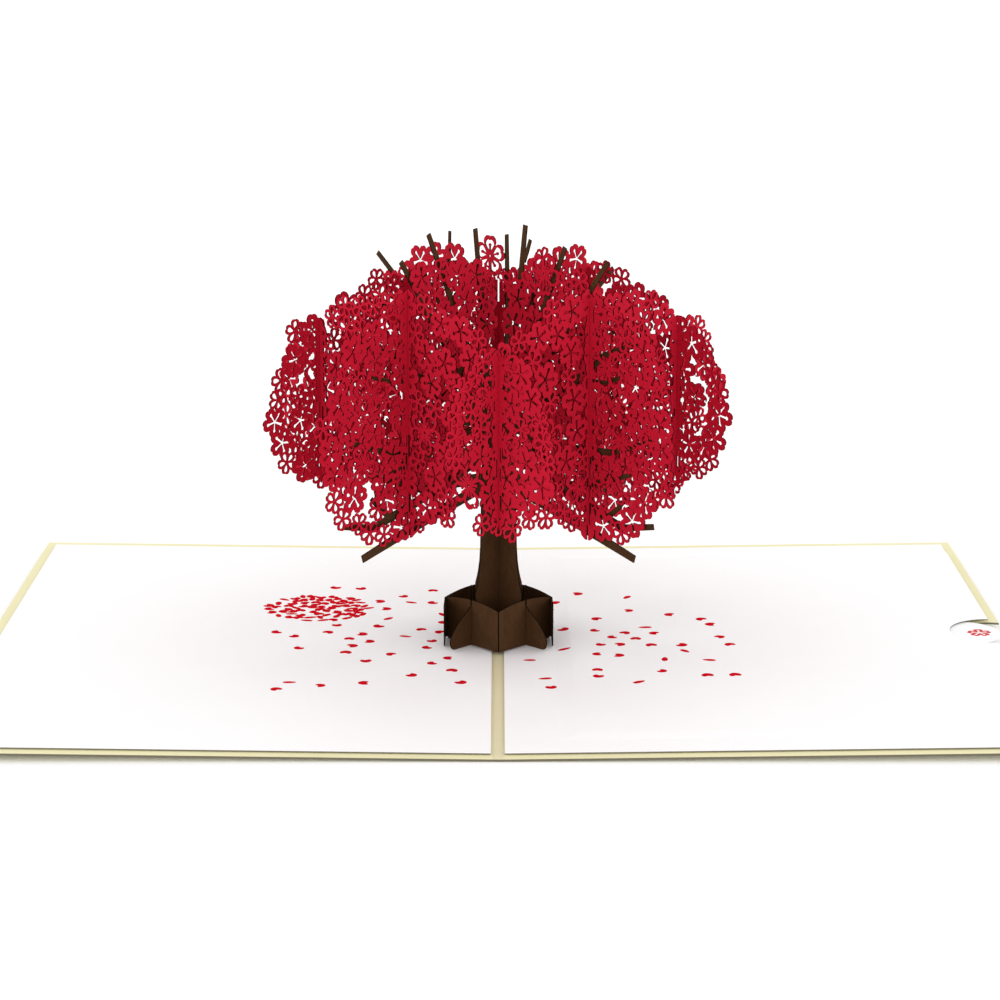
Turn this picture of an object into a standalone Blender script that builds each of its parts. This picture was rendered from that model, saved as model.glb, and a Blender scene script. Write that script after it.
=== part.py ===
"""A pop-up greeting card lying open: a blossom tree of cut paper stands on its two pages.

The tree is a lattice of flat sheets. Four red walls and four red wings carry the blossom,
and two brown sheets carry the trunk, the roots and the boughs. Every sheet stands at 45
degrees to the spine and slots into the sheets that it crosses, so the lattice folds flat
between the pages when the card closes. A square ring round the trunk holds it to the pages.

X runs across the pages, Y along the spine away from the reader and Z up. The origin is
under the middle of the spine. All sizes are in metres.
"""

import math
import random

import bmesh
import bpy
import numpy as np
from mathutils import Matrix, Vector, geometry

# Cover and pages
PAGE_WIDTH = 0.127
PAGE_HEIGHT = 0.178
COVER_THICKNESS = 0.0005
SPINE_WIDTH = 0.0024
PAGE_LIFT = math.radians(0.75)
LINER_THICKNESS = 0.00025
LINER_MARGIN = 0.0027
PLY_GAP = 0.0002

# Thumb notch in the right page's edge
NOTCH_RADIUS = 0.0102
NOTCH_SETBACK = 0.0037

# Note card in the pocket under the right liner
NOTE_THICKNESS = 0.0002
NOTE_INNER_EDGE = 0.022
NOTE_OUTER_EDGE = 0.118
NOTE_HEIGHT = 0.140
TAB_RADIUS = 0.0097
TAB_SETBACK = 0.0110
POCKET_SLOPE = 0.0040

# Sheets of the tree
SHEET_THICKNESS = 0.0003
SLOT_CLEARANCE = 0.0003
REST_GAP = 0.0003
TREE_HEIGHT = 0.1045

# Ring round the trunk
RING_HALF_DIAGONAL = 0.0133
RING_HEIGHT = 0.0103
RING_ARCH = 0.0012
RING_FLAP = 0.0078
RING_SLOT_DEPTH = 0.0055
RING_JOINT_SETBACK = 0.0009

# Trunk, roots and boughs
TRUNK_HALF_WIDTH = 0.0062
TRUNK_SLOT_HEIGHT = 0.0300
ROOT_LENGTH = 0.0074
BOUGH_WIDTH = 0.0026

# Red lattice
LATTICE_OFFSET = 0.0308
WALL_HALF_LENGTH = 0.0495
WING_LENGTH = 0.0615
INTERLOCK_HEIGHT = 0.0600
SEAM_BAND = 0.0046
SEAM_INSET = 0.0047
CROWN_RADIUS = 0.0056
CROWN_HEIGHT = 0.0890
CROWN_SETBACK = 0.0031
CROWN_FOOT_RADIUS = 0.0044
CROWN_LEAN = 0.0036
CROWN_DROP = 0.0054
OVERRUN = 0.0200

# Shares that give a shape its outline
PETALS = 5
PETAL_SHARES = ((-0.5, 0.60), (-0.24, 1.0), (0.24, 1.0))
STAR_ARM_SHARES = ((-0.5, 0.34), (0.0, 1.0))
RADIUS_SPREAD_SHARE = 0.16
EPSILON_SHARE = 1e-6

# The lace's drawing, in shares of the tree's height. It is stretched to the sheet's own length and height
WALL_SPREAD_SHARE = 0.474
WING_SPREAD_SHARE = 0.589
SEAM_SHARE = 0.295
BLOSSOM_RADIUS_SHARE = 0.045
BLOSSOM_PITCH_SHARE = 0.0957
STAR_RADIUS_SHARE = 0.0287
STAR_PITCH_SHARE = 0.148
STAR_MARGIN_SHARE = 0.046

# Steps of curves
CURVE_STEPS = 8
ARC_STEPS = 20
ARCH_STEPS = 6
FLAT_LIMIT = math.radians(0.2)

# Silhouette of a wall, from its middle outwards: shares of the half length and of the tree's height
WALL_TOP_SHARES = (
    (0.00, 0.874), (0.26, 0.867), (0.45, 0.838), (0.62, 0.796),
    (0.79, 0.778), (0.92, 0.705), (0.99, 0.623), (1.00, 0.554),
)
WALL_BOTTOM_SHARES = (
    (0.97, 0.483), (0.89, 0.425), (0.76, 0.384), (0.58, 0.346), (0.30, 0.323), (0.00, 0.317),
)

# Silhouette of a wing, once round: shares of its reach and of the tree's height
WING_SHARES = (
    (0.045, 0.760), (0.050, 0.860), (0.120, 0.926), (0.240, 0.935), (0.400, 0.930),
    (0.535, 0.895), (0.665, 0.856), (0.797, 0.792), (0.910, 0.706), (0.980, 0.609),
    (0.990, 0.522), (0.945, 0.437), (0.855, 0.361), (0.738, 0.304), (0.585, 0.283),
    (0.423, 0.290), (0.280, 0.317), (0.200, 0.396), (0.178, 0.532), (0.095, 0.655),
)

# Half of the trunk's outline above the ring: shares of its half width and of the tree's height
TRUNK_SHARES = ((1.34, 0.137), (1.10, 0.227), (1.00, 0.333), (0.92, 0.464), (0.80, 0.580))

# Rounded root outside the ring, from its top down: shares of the root's reach and the ring's height
ROOT_SHARES = (
    (0.0, 1.00), (0.20, 0.95), (0.49, 0.78), (0.78, 0.56), (0.98, 0.33), (1.00, 0.22),
    (0.93, 0.07), (0.78, 0.0),
)

# Side boughs: points as shares of the wing's reach and the tree's height, with a share of the bough's width
SIDE_BOUGH_SHARES = (
    ((0.060, 0.385, 1.15), (0.450, 0.325, 1.00), (0.740, 0.276, 0.72)),
    ((0.060, 0.459, 1.15), (0.460, 0.378, 0.92), (0.680, 0.343, 0.70), (0.835, 0.362, 0.56)),
    ((0.390, 0.397, 0.60), (0.572, 0.439, 0.55), (0.715, 0.470, 0.45)),
    ((0.055, 0.527, 1.15), (0.330, 0.498, 0.85), (0.610, 0.511, 0.62), (0.820, 0.556, 0.48)),
    ((0.050, 0.561, 1.20), (0.330, 0.622, 0.90), (0.575, 0.732, 0.62), (0.750, 0.775, 0.46)),
)

# Upper twigs of each quarter of the tree, from the crown of the trunk to the tip, in the same shares
TWIG_SHARES = {
    "back_right": (
        ((0.045, 0.541, 1.20), (0.300, 0.682, 0.70), (0.667, 0.847, 0.42)),
        ((0.045, 0.541, 1.10), (0.150, 0.722, 0.62), (0.246, 0.889, 0.42)),
        ((0.045, 0.541, 1.00), (0.052, 0.762, 0.62), (0.046, 0.967, 0.42)),
    ),
    "front_left": (
        ((0.045, 0.541, 1.20), (0.280, 0.722, 0.70), (0.524, 0.940, 0.42)),
        ((0.045, 0.541, 1.10), (0.210, 0.772, 0.62), (0.379, 0.993, 0.42)),
        ((0.045, 0.541, 1.00), (0.086, 0.772, 0.62), (0.128, 0.991, 0.42)),
    ),
    "front_right": (
        ((0.045, 0.541, 1.20), (0.300, 0.722, 0.70), (0.584, 0.942, 0.42)),
        ((0.045, 0.541, 1.10), (0.200, 0.752, 0.62), (0.361, 0.962, 0.42)),
        ((0.045, 0.541, 1.00), (0.100, 0.772, 0.62), (0.148, 1.000, 0.42)),
    ),
    "back_left": (
        ((0.045, 0.541, 1.20), (0.320, 0.702, 0.70), (0.704, 0.883, 0.42)),
        ((0.045, 0.541, 1.10), (0.250, 0.722, 0.62), (0.455, 0.871, 0.42)),
        ((0.045, 0.541, 1.00), (0.285, 0.800, 0.62), (0.275, 0.961, 0.42)),
    ),
}

# Directions of the two families of sheets, as turns about Z
ALONG_A = math.radians(45)
ALONG_B = math.radians(-45)

# Sizes that follow from the ones above
LIFT_AT_RING = (RING_HALF_DIAGONAL - SPINE_WIDTH / 2) * math.tan(PAGE_LIFT)
LINER_TOP = COVER_THICKNESS + PLY_GAP + LINER_THICKNESS
GROUND = LINER_TOP + LIFT_AT_RING + REST_GAP
SLOT_WIDTH = SHEET_THICKNESS + 2 * SLOT_CLEARANCE
WING_SETOFF = SHEET_THICKNESS + SLOT_CLEARANCE
RING_FACE = RING_HALF_DIAGONAL / math.sqrt(2)
RING_FACE_LENGTH = RING_HALF_DIAGONAL * math.sqrt(2)
POCKET_RISE = NOTE_THICKNESS + PLY_GAP
NOTCH_CENTRE = PAGE_WIDTH - NOTCH_SETBACK
TAB_CENTRE = PAGE_WIDTH - TAB_SETBACK


def clear_scene():
    for item in list(bpy.data.objects):
        bpy.data.objects.remove(item)


def paper(name, colour, roughness):
    """A matt paper material."""
    material = bpy.data.materials.new(name)
    material.use_nodes = True
    shader = material.node_tree.nodes["Principled BSDF"]
    shader.inputs["Base Color"].default_value = (*colour, 1.0)
    shader.inputs["Roughness"].default_value = roughness
    shader.inputs["Metallic"].default_value = 0.0
    material.diffuse_color = (*colour, 1.0)
    return material


# Flat shapes


def rectangle(left, bottom, right, top):
    return [(left, bottom), (right, bottom), (right, top), (left, top)]


def disc(centre, radius, steps=ARC_STEPS):
    turns = [2 * math.pi * k / steps for k in range(steps)]
    return [(centre[0] + radius * math.cos(a), centre[1] + radius * math.sin(a)) for a in turns]


def rosette(centre, radius, turn, shares):
    """An outline that repeats once for each petal, from shares of the petal's angle and of the radius."""
    outline = []
    for petal in range(PETALS):
        for angle_share, radius_share in shares:
            angle = turn + 2 * math.pi * (petal + angle_share) / PETALS
            reach = radius * radius_share
            outline.append((centre[0] + reach * math.cos(angle), centre[1] + reach * math.sin(angle)))
    return outline


def ribbon(points, widths):
    """The outline of a bough: a line of points widened to both sides, with square ends."""
    line = np.array(points)
    along = np.gradient(line, axis=0)
    along /= np.linalg.norm(along, axis=1)[:, None]
    aside = np.stack([-along[:, 1], along[:, 0]], axis=1) * np.array(widths)[:, None] / 2
    return [tuple(p) for p in np.vstack([line - aside, (line + aside)[::-1]])]


def smooth_loop(points):
    """A closed Catmull-Rom curve through the points."""
    corners = np.array(points)
    before, after = np.roll(corners, 1, axis=0), np.roll(corners, -1, axis=0)
    beyond = np.roll(corners, -2, axis=0)
    steps = np.linspace(0, 1, CURVE_STEPS, endpoint=False)[None, :, None]
    p0, p1, p2, p3 = (q[:, None, :] for q in (before, corners, after, beyond))
    curve = p1 + (p2 - p0) * steps / 2
    curve += (p0 - 2.5 * p1 + 2 * p2 - p3 / 2) * steps**2
    curve += (1.5 * (p1 - p2) + (p3 - p0) / 2) * steps**3
    return curve.reshape(-1, 2)


def even_loop(curve, pitch):
    """Points about a pitch apart along a closed curve, with the outward direction at each."""
    closed = np.vstack([curve, curve[:1]])
    travelled = np.concatenate([[0], np.cumsum(np.linalg.norm(np.diff(closed, axis=0), axis=1))])
    count = round(travelled[-1] / pitch)
    stations = np.linspace(0, travelled[-1], count, endpoint=False)
    spots = np.stack([np.interp(stations, travelled, closed[:, k]) for k in (0, 1)], axis=1)
    along = np.roll(spots, -1, axis=0) - np.roll(spots, 1, axis=0)
    along /= np.linalg.norm(along, axis=1)[:, None]
    outward = np.stack([along[:, 1], -along[:, 0]], axis=1)
    return spots, outward * math.copysign(1, doubled_area(spots))


def doubled_area(outline):
    """Twice the area inside an outline, below zero where it runs clockwise."""
    x, y = np.array(outline).T
    return float(np.sum(x * np.roll(y, -1) - y * np.roll(x, -1)))


def inside(point, outline):
    """Whether a point is inside a closed outline, by counting the sides to its right."""
    found = False
    for (x0, y0), (x1, y1) in zip(outline, np.roll(outline, -1, axis=0)):
        if (y0 > point[1]) != (y1 > point[1]):
            found ^= point[0] < x0 + (point[1] - y0) * (x1 - x0) / (y1 - y0)
    return found


# Sheets cut from flat shapes


def largest_island(mesh):
    """Removes every piece of a flat mesh but the one with the largest area."""
    loose, islands = set(mesh.faces), []
    while loose:
        queue = [loose.pop()]
        island = []
        while queue:
            face = queue.pop()
            island.append(face)
            for edge in face.edges:
                for other in edge.link_faces:
                    if other in loose:
                        loose.discard(other)
                        queue.append(other)
        islands.append(island)
    islands.sort(key=lambda faces: sum(face.calc_area() for face in faces))
    waste = [face for island in islands[:-1] for face in island]
    bmesh.ops.delete(mesh, geom=waste, context="FACES")


def part_pinches(mesh, nudge):
    """Where two corners of a flat mesh meet in one point, gives each a point of its own, moved inwards."""
    for vert in list(mesh.verts):
        if sum(edge.is_boundary for edge in vert.link_edges) < 4:
            continue
        for corner in bmesh.utils.vert_separate(vert, [e for e in vert.link_edges if e.is_boundary]):
            middle = sum((f.calc_center_median() for f in corner.link_faces), Vector())
            middle /= len(corner.link_faces)
            corner.co = corner.co + (middle - corner.co).normalized() * nudge


def cut_sheet(shapes, size):
    """A flat mesh of the paper that is left when shapes are laid over each other in order.

    Each shape is an outline and whether it adds paper or cuts it away. Where two overlap, the later wins.
    """
    points, outlines = [], []
    for outline, _ in shapes:
        if doubled_area(outline) < 0:
            outline = outline[::-1]
        outlines.append(list(range(len(points), len(points) + len(outline))))
        points.extend(Vector(point) for point in outline)
    triangulated = geometry.delaunay_2d_cdt(points, [], outlines, 1, EPSILON_SHARE * size)
    verts, faces, owners = triangulated[0], triangulated[2], triangulated[5]
    mesh = bmesh.new()
    corners = [mesh.verts.new((x, y, 0)) for x, y in verts]
    for face, owner in zip(faces, owners):
        if owner and shapes[max(owner)][1]:
            mesh.faces.new([corners[k] for k in face])
    largest_island(mesh)
    part_pinches(mesh, SLOT_CLEARANCE / 10)
    bmesh.ops.delete(mesh, geom=[v for v in mesh.verts if not v.link_faces], context="VERTS")
    return mesh


def finish_sheet(name, mesh, thickness, material, home, fold=None):
    """Folds a flat mesh, merges its flat areas, and makes an object of it, thickened to both sides."""
    if fold:
        for vert in mesh.verts:
            vert.co = fold(vert.co)
    mesh.normal_update()
    bmesh.ops.dissolve_limit(mesh, angle_limit=FLAT_LIMIT, verts=mesh.verts[:], edges=mesh.edges[:])
    bmesh.ops.recalc_face_normals(mesh, faces=mesh.faces[:])
    data = bpy.data.meshes.new(name)
    mesh.to_mesh(data)
    mesh.free()
    data.materials.append(material)
    sheet = bpy.data.objects.new(name, data)
    home.objects.link(sheet)
    thick = sheet.modifiers.new("thickness", "SOLIDIFY")
    thick.thickness = thickness
    thick.offset = 0
    thick.use_even_offset = True
    return sheet


def stand(sheet, along, offset):
    """Stands a flat sheet upright on the pages: its x runs along the given direction, and its y runs up."""
    turn = Matrix.Rotation(along, 4, "Z") @ Matrix.Rotation(math.radians(90), 4, "X")
    sheet.matrix_world = turn @ Matrix.Translation((0, GROUND, offset))


# Cover, liners and note card


def page_side(x, height):
    """Where a point comes to lie that is x from the middle of the flat spine, at a height on the page."""
    reach = abs(x) - SPINE_WIDTH / 2
    if reach <= 0:
        return x, height
    across = SPINE_WIDTH / 2 + reach * math.cos(PAGE_LIFT) - height * math.sin(PAGE_LIFT)
    return math.copysign(across, x), reach * math.sin(PAGE_LIFT) + height * math.cos(PAGE_LIFT)


def lie_at(level):
    """A fold that lays a flat sheet on the pages, with its middle at a level over the cover's underside."""

    def fold(point):
        x, z = page_side(point.x, level + point.z)
        return Vector((x, point.y, z))

    return fold


def make_cover(material, home):
    half = PAGE_HEIGHT / 2
    pages = (
        (rectangle(-PAGE_WIDTH, -half, -SPINE_WIDTH / 2, half), True),
        (rectangle(-SPINE_WIDTH / 2, -half, SPINE_WIDTH / 2, half), True),
        (rectangle(SPINE_WIDTH / 2, -half, PAGE_WIDTH, half), True),
        (disc((NOTCH_CENTRE, 0), NOTCH_RADIUS), False),
    )
    mesh = cut_sheet(pages, PAGE_WIDTH)
    finish_sheet("cover", mesh, COVER_THICKNESS, material, home, lie_at(COVER_THICKNESS / 2))


def liner_box():
    inner = SPINE_WIDTH / 2 + PLY_GAP
    half = PAGE_HEIGHT / 2 - LINER_MARGIN
    return rectangle(inner, -half, PAGE_WIDTH - LINER_MARGIN, half)


def make_liners(material, home):
    """The two white liners. The right one rises over the note card and is open at the page's outer edge."""
    level = COVER_THICKNESS + PLY_GAP + LINER_THICKNESS / 2
    left = [(-x, y) for x, y in liner_box()]
    mesh = cut_sheet([(left, True)], PAGE_WIDTH)
    finish_sheet("left_liner", mesh, LINER_THICKNESS, material, home, lie_at(level))

    inner = NOTE_INNER_EDGE - POCKET_SLOPE
    half = NOTE_HEIGHT / 2 + POCKET_SLOPE
    beyond = PAGE_WIDTH + OVERRUN
    shapes = (
        (liner_box(), True),
        (rectangle(inner - POCKET_SLOPE, -half - POCKET_SLOPE, beyond, half + POCKET_SLOPE), True),
        (rectangle(inner, -half, beyond, half), True),
        (rectangle(PAGE_WIDTH - LINER_MARGIN, -PAGE_HEIGHT, beyond + OVERRUN, PAGE_HEIGHT), False),
        (disc((NOTCH_CENTRE, 0), NOTCH_RADIUS), False),
    )
    mesh = cut_sheet(shapes, PAGE_WIDTH)
    for vert in mesh.verts:
        raised = vert.co.x > inner - PLY_GAP and abs(vert.co.y) < half + PLY_GAP
        vert.co.z = POCKET_RISE if raised else 0
    finish_sheet("right_liner", mesh, LINER_THICKNESS, material, home, lie_at(level))


def make_note_card(material, home):
    half = NOTE_HEIGHT / 2
    shapes = (
        (rectangle(NOTE_INNER_EDGE, -half, NOTE_OUTER_EDGE, half), True),
        (disc((TAB_CENTRE, 0), TAB_RADIUS), True),
    )
    mesh = cut_sheet(shapes, PAGE_WIDTH)
    level = COVER_THICKNESS + PLY_GAP + NOTE_THICKNESS / 2
    finish_sheet("note_card", mesh, NOTE_THICKNESS, material, home, lie_at(level))


# Ring round the trunk


def arched_face(start, length):
    """One wall of the ring, drawn flat, with an arched top."""
    shares = [k / ARCH_STEPS for k in range(ARCH_STEPS + 1)]
    top = [(start + length * s, RING_HEIGHT + 4 * RING_ARCH * s * (1 - s)) for s in reversed(shares)]
    return [(start, 0), (start + length, 0), *top]


def folded_path(corners):
    """A fold that stands a flat strip on end along a line of plan corners, from the first one."""
    legs = [(Vector(b) - Vector(a)) for a, b in zip(corners, corners[1:])]
    starts = np.concatenate([[0], np.cumsum([leg.length for leg in legs])])

    def fold(point):
        leg = int(np.clip(np.searchsorted(starts, point.x) - 1, 0, len(legs) - 1))
        spot = Vector(corners[leg]) + legs[leg].normalized() * (point.x - starts[leg])
        return Vector((spot.x, spot.y, point.y + GROUND))

    return fold


def ring_slots(starts):
    """Slots from the top of each wall of the ring, down to where the root's own slot ends."""
    half = SLOT_WIDTH / 2
    low = RING_SLOT_DEPTH - SLOT_CLEARANCE / 2
    middles = [start + RING_FACE_LENGTH / 2 for start in starts]
    return [(rectangle(m - half, low, m + half, RING_HEIGHT + OVERRUN), False) for m in middles]


def make_ring(material, home):
    side, face = RING_HALF_DIAGONAL, RING_FACE_LENGTH
    trim = rectangle(-OVERRUN, -OVERRUN, RING_JOINT_SETBACK, RING_HEIGHT + OVERRUN)
    far_trim = [(2 * face - x, y) for x, y in trim]
    front = [(arched_face(0, face), True), (arched_face(face, face), True)]
    front += [(trim, False), (far_trim, False)] + ring_slots((0, face))
    path = folded_path([(-side, 0), (0, -side), (side, 0)])
    mesh = cut_sheet(front, side)
    finish_sheet("base_wall_front", mesh, SHEET_THICKNESS, material, home, path)

    flap = RING_FLAP
    far = flap + 2 * face
    back = [
        (rectangle(0, 0, flap, RING_HEIGHT), True),
        (arched_face(flap, face), True),
        (arched_face(flap + face, face), True),
        (rectangle(far, 0, far + flap, RING_HEIGHT), True),
    ]
    back += ring_slots((flap, flap + face))
    path = folded_path([(-side, -flap), (-side, 0), (0, side), (side, 0), (side, -flap)])
    mesh = cut_sheet(back, side)
    finish_sheet("base_wall_back", mesh, SHEET_THICKNESS, material, home, path)


# Trunk, roots and boughs


def scaled_boughs(quarter):
    """The side boughs and the twigs of one quarter, each as its line of points and its widths."""
    boughs = []
    for shares in SIDE_BOUGH_SHARES + TWIG_SHARES[quarter]:
        line = [(s * WING_LENGTH, z * TREE_HEIGHT) for s, z, _ in shares]
        boughs.append((line, [width * BOUGH_WIDTH for _, _, width in shares]))
    return boughs


def trunk_outline():
    """The trunk and its rounded roots, whose tips stand outside the ring."""
    half = [(RING_FACE + r * ROOT_LENGTH, h * RING_HEIGHT) for r, h in reversed(ROOT_SHARES)]
    half += [(w * TRUNK_HALF_WIDTH, z * TREE_HEIGHT) for w, z in TRUNK_SHARES]
    return half + [(-x, y) for x, y in reversed(half)]


def make_trunk_sheet(name, quarters, along, slot_from_top, material, home):
    """One brown sheet. quarters names the quarter on its near side, then the one on its far side."""
    shapes = [(trunk_outline(), True)]
    for quarter, side in zip(quarters, (1, -1)):
        for line, widths in scaled_boughs(quarter):
            shapes.append((ribbon([(side * x, y) for x, y in line], widths), True))
    half = SLOT_WIDTH / 2
    if slot_from_top:
        centre = rectangle(-half, TRUNK_SLOT_HEIGHT - SLOT_CLEARANCE / 2, half, TREE_HEIGHT + OVERRUN)
    else:
        centre = rectangle(-half, -OVERRUN, half, TRUNK_SLOT_HEIGHT + SLOT_CLEARANCE / 2)
    shapes.append((centre, False))
    top = RING_SLOT_DEPTH + SLOT_CLEARANCE / 2
    for middle in (-RING_FACE, RING_FACE):
        shapes.append((rectangle(middle - half, -OVERRUN, middle + half, top), False))
    sheet = finish_sheet(name, cut_sheet(shapes, TREE_HEIGHT), SHEET_THICKNESS, material, home)
    stand(sheet, along, 0)


# Red walls and wings


def bough_windows(quarter, middle):
    """Windows at the middle of a wall, one for each side bough that passes through below the interlock."""
    windows = []
    half = SLOT_WIDTH / 2
    for line, widths in scaled_boughs(quarter):
        reach = [x for x, _ in line]
        if not reach[0] < LATTICE_OFFSET < reach[-1]:
            continue
        height = float(np.interp(LATTICE_OFFSET, reach, [y for _, y in line]))
        tall = float(np.interp(LATTICE_OFFSET, reach, widths)) / 2 + SLOT_CLEARANCE
        if height - tall < INTERLOCK_HEIGHT:
            windows.append((rectangle(middle - half, height - tall, middle + half, height + tall), False))
    return windows


def star_field(spots, seams, chance):
    """Star cuts in rows between the rim's blossoms, clear of the rim and of the seams."""
    stars = []
    low, high = spots.min(axis=0), spots.max(axis=0)
    row_step = STAR_PITCH_SHARE * math.sqrt(3) / 2
    rows = int((high[1] - low[1]) / row_step) + 1
    columns = int((high[0] - low[0]) / STAR_PITCH_SHARE) + 1
    for row in range(rows):
        for column in range(columns + 1):
            x = low[0] + (column + row % 2 / 2) * STAR_PITCH_SHARE
            spot = (x, low[1] + (row + 0.5) * row_step)
            turn = chance.uniform(0, math.tau)
            rim = min(math.dist(spot, other) for other in spots)
            seam = min(abs(x - middle) for middle in seams)
            if inside(spot, spots) and min(rim, seam) > STAR_MARGIN_SHARE:
                stars.append((rosette(spot, STAR_RADIUS_SHARE, turn, STAR_ARM_SHARES), False))
    return stars


def blossom_lace(silhouette, spread, reach, seams, seed):
    """Shapes of a red sheet: a rim of blossoms round a field of star cuts, with a solid band at each seam.

    silhouette and the seams' sides, -1, 0 or 1, are the drawing, spread wide in shares of the tree's
    height. The drawing is stretched to the sheet's reach and to the tree's height.
    """
    chance = random.Random(seed)
    drawing = smooth_loop([(x * spread, z) for x, z in silhouette])
    spots, outward = even_loop(drawing, BLOSSOM_PITCH_SHARE)
    spots = spots - outward * BLOSSOM_RADIUS_SHARE
    drawn = [(spots, True)]
    for spot in spots:
        radius = BLOSSOM_RADIUS_SHARE * (1 + RADIUS_SPREAD_SHARE * chance.uniform(-1, 1))
        drawn.append((rosette(spot, radius, chance.uniform(0, math.tau), PETAL_SHARES), True))
    drawn += star_field(spots, [side * SEAM_SHARE for side in seams], chance)
    stretch = np.array((reach / spread, TREE_HEIGHT))
    shapes = [([tuple(p) for p in np.array(outline) * stretch], adds) for outline, adds in drawn]
    for side in seams:
        middle, half = side * LATTICE_OFFSET, SEAM_BAND / 2
        near = [y for x, y in drawing * stretch if abs(x - middle) < SEAM_BAND]
        low, high = min(near) + SEAM_INSET, max(near) - SEAM_INSET
        shapes.append((rectangle(middle - half, low, middle + half, high), True))
    return shapes


def seam_slot(middle, width, from_top):
    """A slot from the top or the bottom of a sheet to the height where it interlocks with another."""
    left, right = middle - width / 2, middle + width / 2
    if from_top:
        return rectangle(left, INTERLOCK_HEIGHT - SLOT_CLEARANCE / 2, right, TREE_HEIGHT), False
    return rectangle(left, -OVERRUN, right, INTERLOCK_HEIGHT + SLOT_CLEARANCE / 2), False


def make_wall(quarter, along, offset, crowns, seed, material, home):
    """A red wall: its ends cross its neighbours, and a wing and a brown sheet pass through its middle.

    crowns are blossoms that stand above the rim, each as its middle and its radius. The walls along A
    are slotted from the top at their ends and those along B from the bottom.
    """
    half = WALL_TOP_SHARES + WALL_BOTTOM_SHARES
    silhouette = half + tuple((-x, z) for x, z in reversed(half) if x > 0)
    shapes = blossom_lace(silhouette, WALL_SPREAD_SHARE, WALL_HALF_LENGTH, (-1, 1, 0), seed)
    for middle, radius in crowns:
        shapes.insert(1, (rosette(middle, radius, math.radians(90), PETAL_SHARES), True))
    for end in (-LATTICE_OFFSET, LATTICE_OFFSET):
        shapes.append(seam_slot(end, SLOT_WIDTH, along == ALONG_A))
    pair_side = -1 if along == ALONG_A else 1
    shapes.append(seam_slot(pair_side * WING_SETOFF / 2, SLOT_WIDTH + WING_SETOFF, True))
    shapes += bough_windows(quarter, 0)
    mesh = cut_sheet(shapes, TREE_HEIGHT)
    sheet = finish_sheet(f"canopy_wall_{quarter}", mesh, SHEET_THICKNESS, material, home)
    stand(sheet, along, offset)


def make_wing(quarter, along, side, seed, material, home):
    """A red wing: it lies beside one half of a brown sheet and slots down over the wall that it crosses."""
    silhouette = [(side * s, z) for s, z in WING_SHARES]
    shapes = blossom_lace(silhouette, WING_SPREAD_SHARE, WING_LENGTH, (side,), seed)
    shapes.append(seam_slot(side * LATTICE_OFFSET, SLOT_WIDTH, False))
    mesh = cut_sheet(shapes, TREE_HEIGHT)
    sheet = finish_sheet(f"canopy_wing_{quarter}", mesh, SHEET_THICKNESS, material, home)
    stand(sheet, along, WING_SETOFF)


def make_tree(red, brown, home):
    make_trunk_sheet("trunk_sheet_a", ("back_right", "front_left"), ALONG_A, True, brown, home)
    make_trunk_sheet("trunk_sheet_b", ("front_right", "back_left"), ALONG_B, False, brown, home)
    crown = (-LATTICE_OFFSET - CROWN_SETBACK, CROWN_HEIGHT)
    foot = (crown[0] - CROWN_LEAN, crown[1] - CROWN_DROP)
    crowns = ((crown, CROWN_RADIUS), (foot, CROWN_FOOT_RADIUS))
    make_wall("front_right", ALONG_A, LATTICE_OFFSET, (), 11, red, home)
    make_wall("back_left", ALONG_A, -LATTICE_OFFSET, (), 12, red, home)
    make_wall("front_left", ALONG_B, LATTICE_OFFSET, (), 13, red, home)
    make_wall("back_right", ALONG_B, -LATTICE_OFFSET, crowns, 14, red, home)
    make_wing("back_right", ALONG_A, 1, 21, red, home)
    make_wing("front_left", ALONG_A, -1, 22, red, home)
    make_wing("front_right", ALONG_B, 1, 23, red, home)
    make_wing("back_left", ALONG_B, -1, 24, red, home)


def main():
    clear_scene()
    home = bpy.data.collections.new("pop_up_card")
    bpy.context.scene.collection.children.link(home)
    cream = paper("cream_card", (0.83, 0.78, 0.50), 0.85)
    white = paper("white_card", (0.93, 0.93, 0.92), 0.85)
    red = paper("red_paper", (0.56, 0.012, 0.030), 0.80)
    brown = paper("brown_paper", (0.045, 0.020, 0.008), 0.80)
    make_cover(cream, home)
    make_liners(white, home)
    make_note_card(white, home)
    make_ring(brown, home)
    make_tree(red, brown, home)


main()
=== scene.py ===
"""Makes the cut-paper pieces of a pop-up card with a blossom tree, with their finishes, and the stage.

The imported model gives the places: every piece here lies in the same plane as the solid that it stands
for. Lengths are in metres, X runs across the pages, Y along the spine and Z up.
"""

import math

import bmesh
import bpy
import numpy as np
from bpy.props import FloatProperty, FloatVectorProperty, IntProperty, PointerProperty
from bpy.types import Operator, Panel, PropertyGroup
from mathutils import Matrix, Vector, geometry


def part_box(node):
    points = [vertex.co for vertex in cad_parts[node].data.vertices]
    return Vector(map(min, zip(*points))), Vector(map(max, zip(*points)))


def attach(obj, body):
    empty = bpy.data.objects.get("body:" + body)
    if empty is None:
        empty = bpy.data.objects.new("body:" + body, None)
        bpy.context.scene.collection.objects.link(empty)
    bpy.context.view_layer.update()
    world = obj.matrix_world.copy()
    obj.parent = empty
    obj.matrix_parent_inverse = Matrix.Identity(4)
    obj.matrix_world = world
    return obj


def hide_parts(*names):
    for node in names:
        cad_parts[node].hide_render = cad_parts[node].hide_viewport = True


bl_info = {
    "name": "Blossom tree pop-up card",
    "version": (1, 0, 0),
    "blender": (4, 5, 0),
    "location": "View3D > Sidebar > Pop-up card",
    "description": "Makes the sheets of a pop-up card: cover, liners, note card, trunk and lace",
    "category": "Add Mesh",
}

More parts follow.
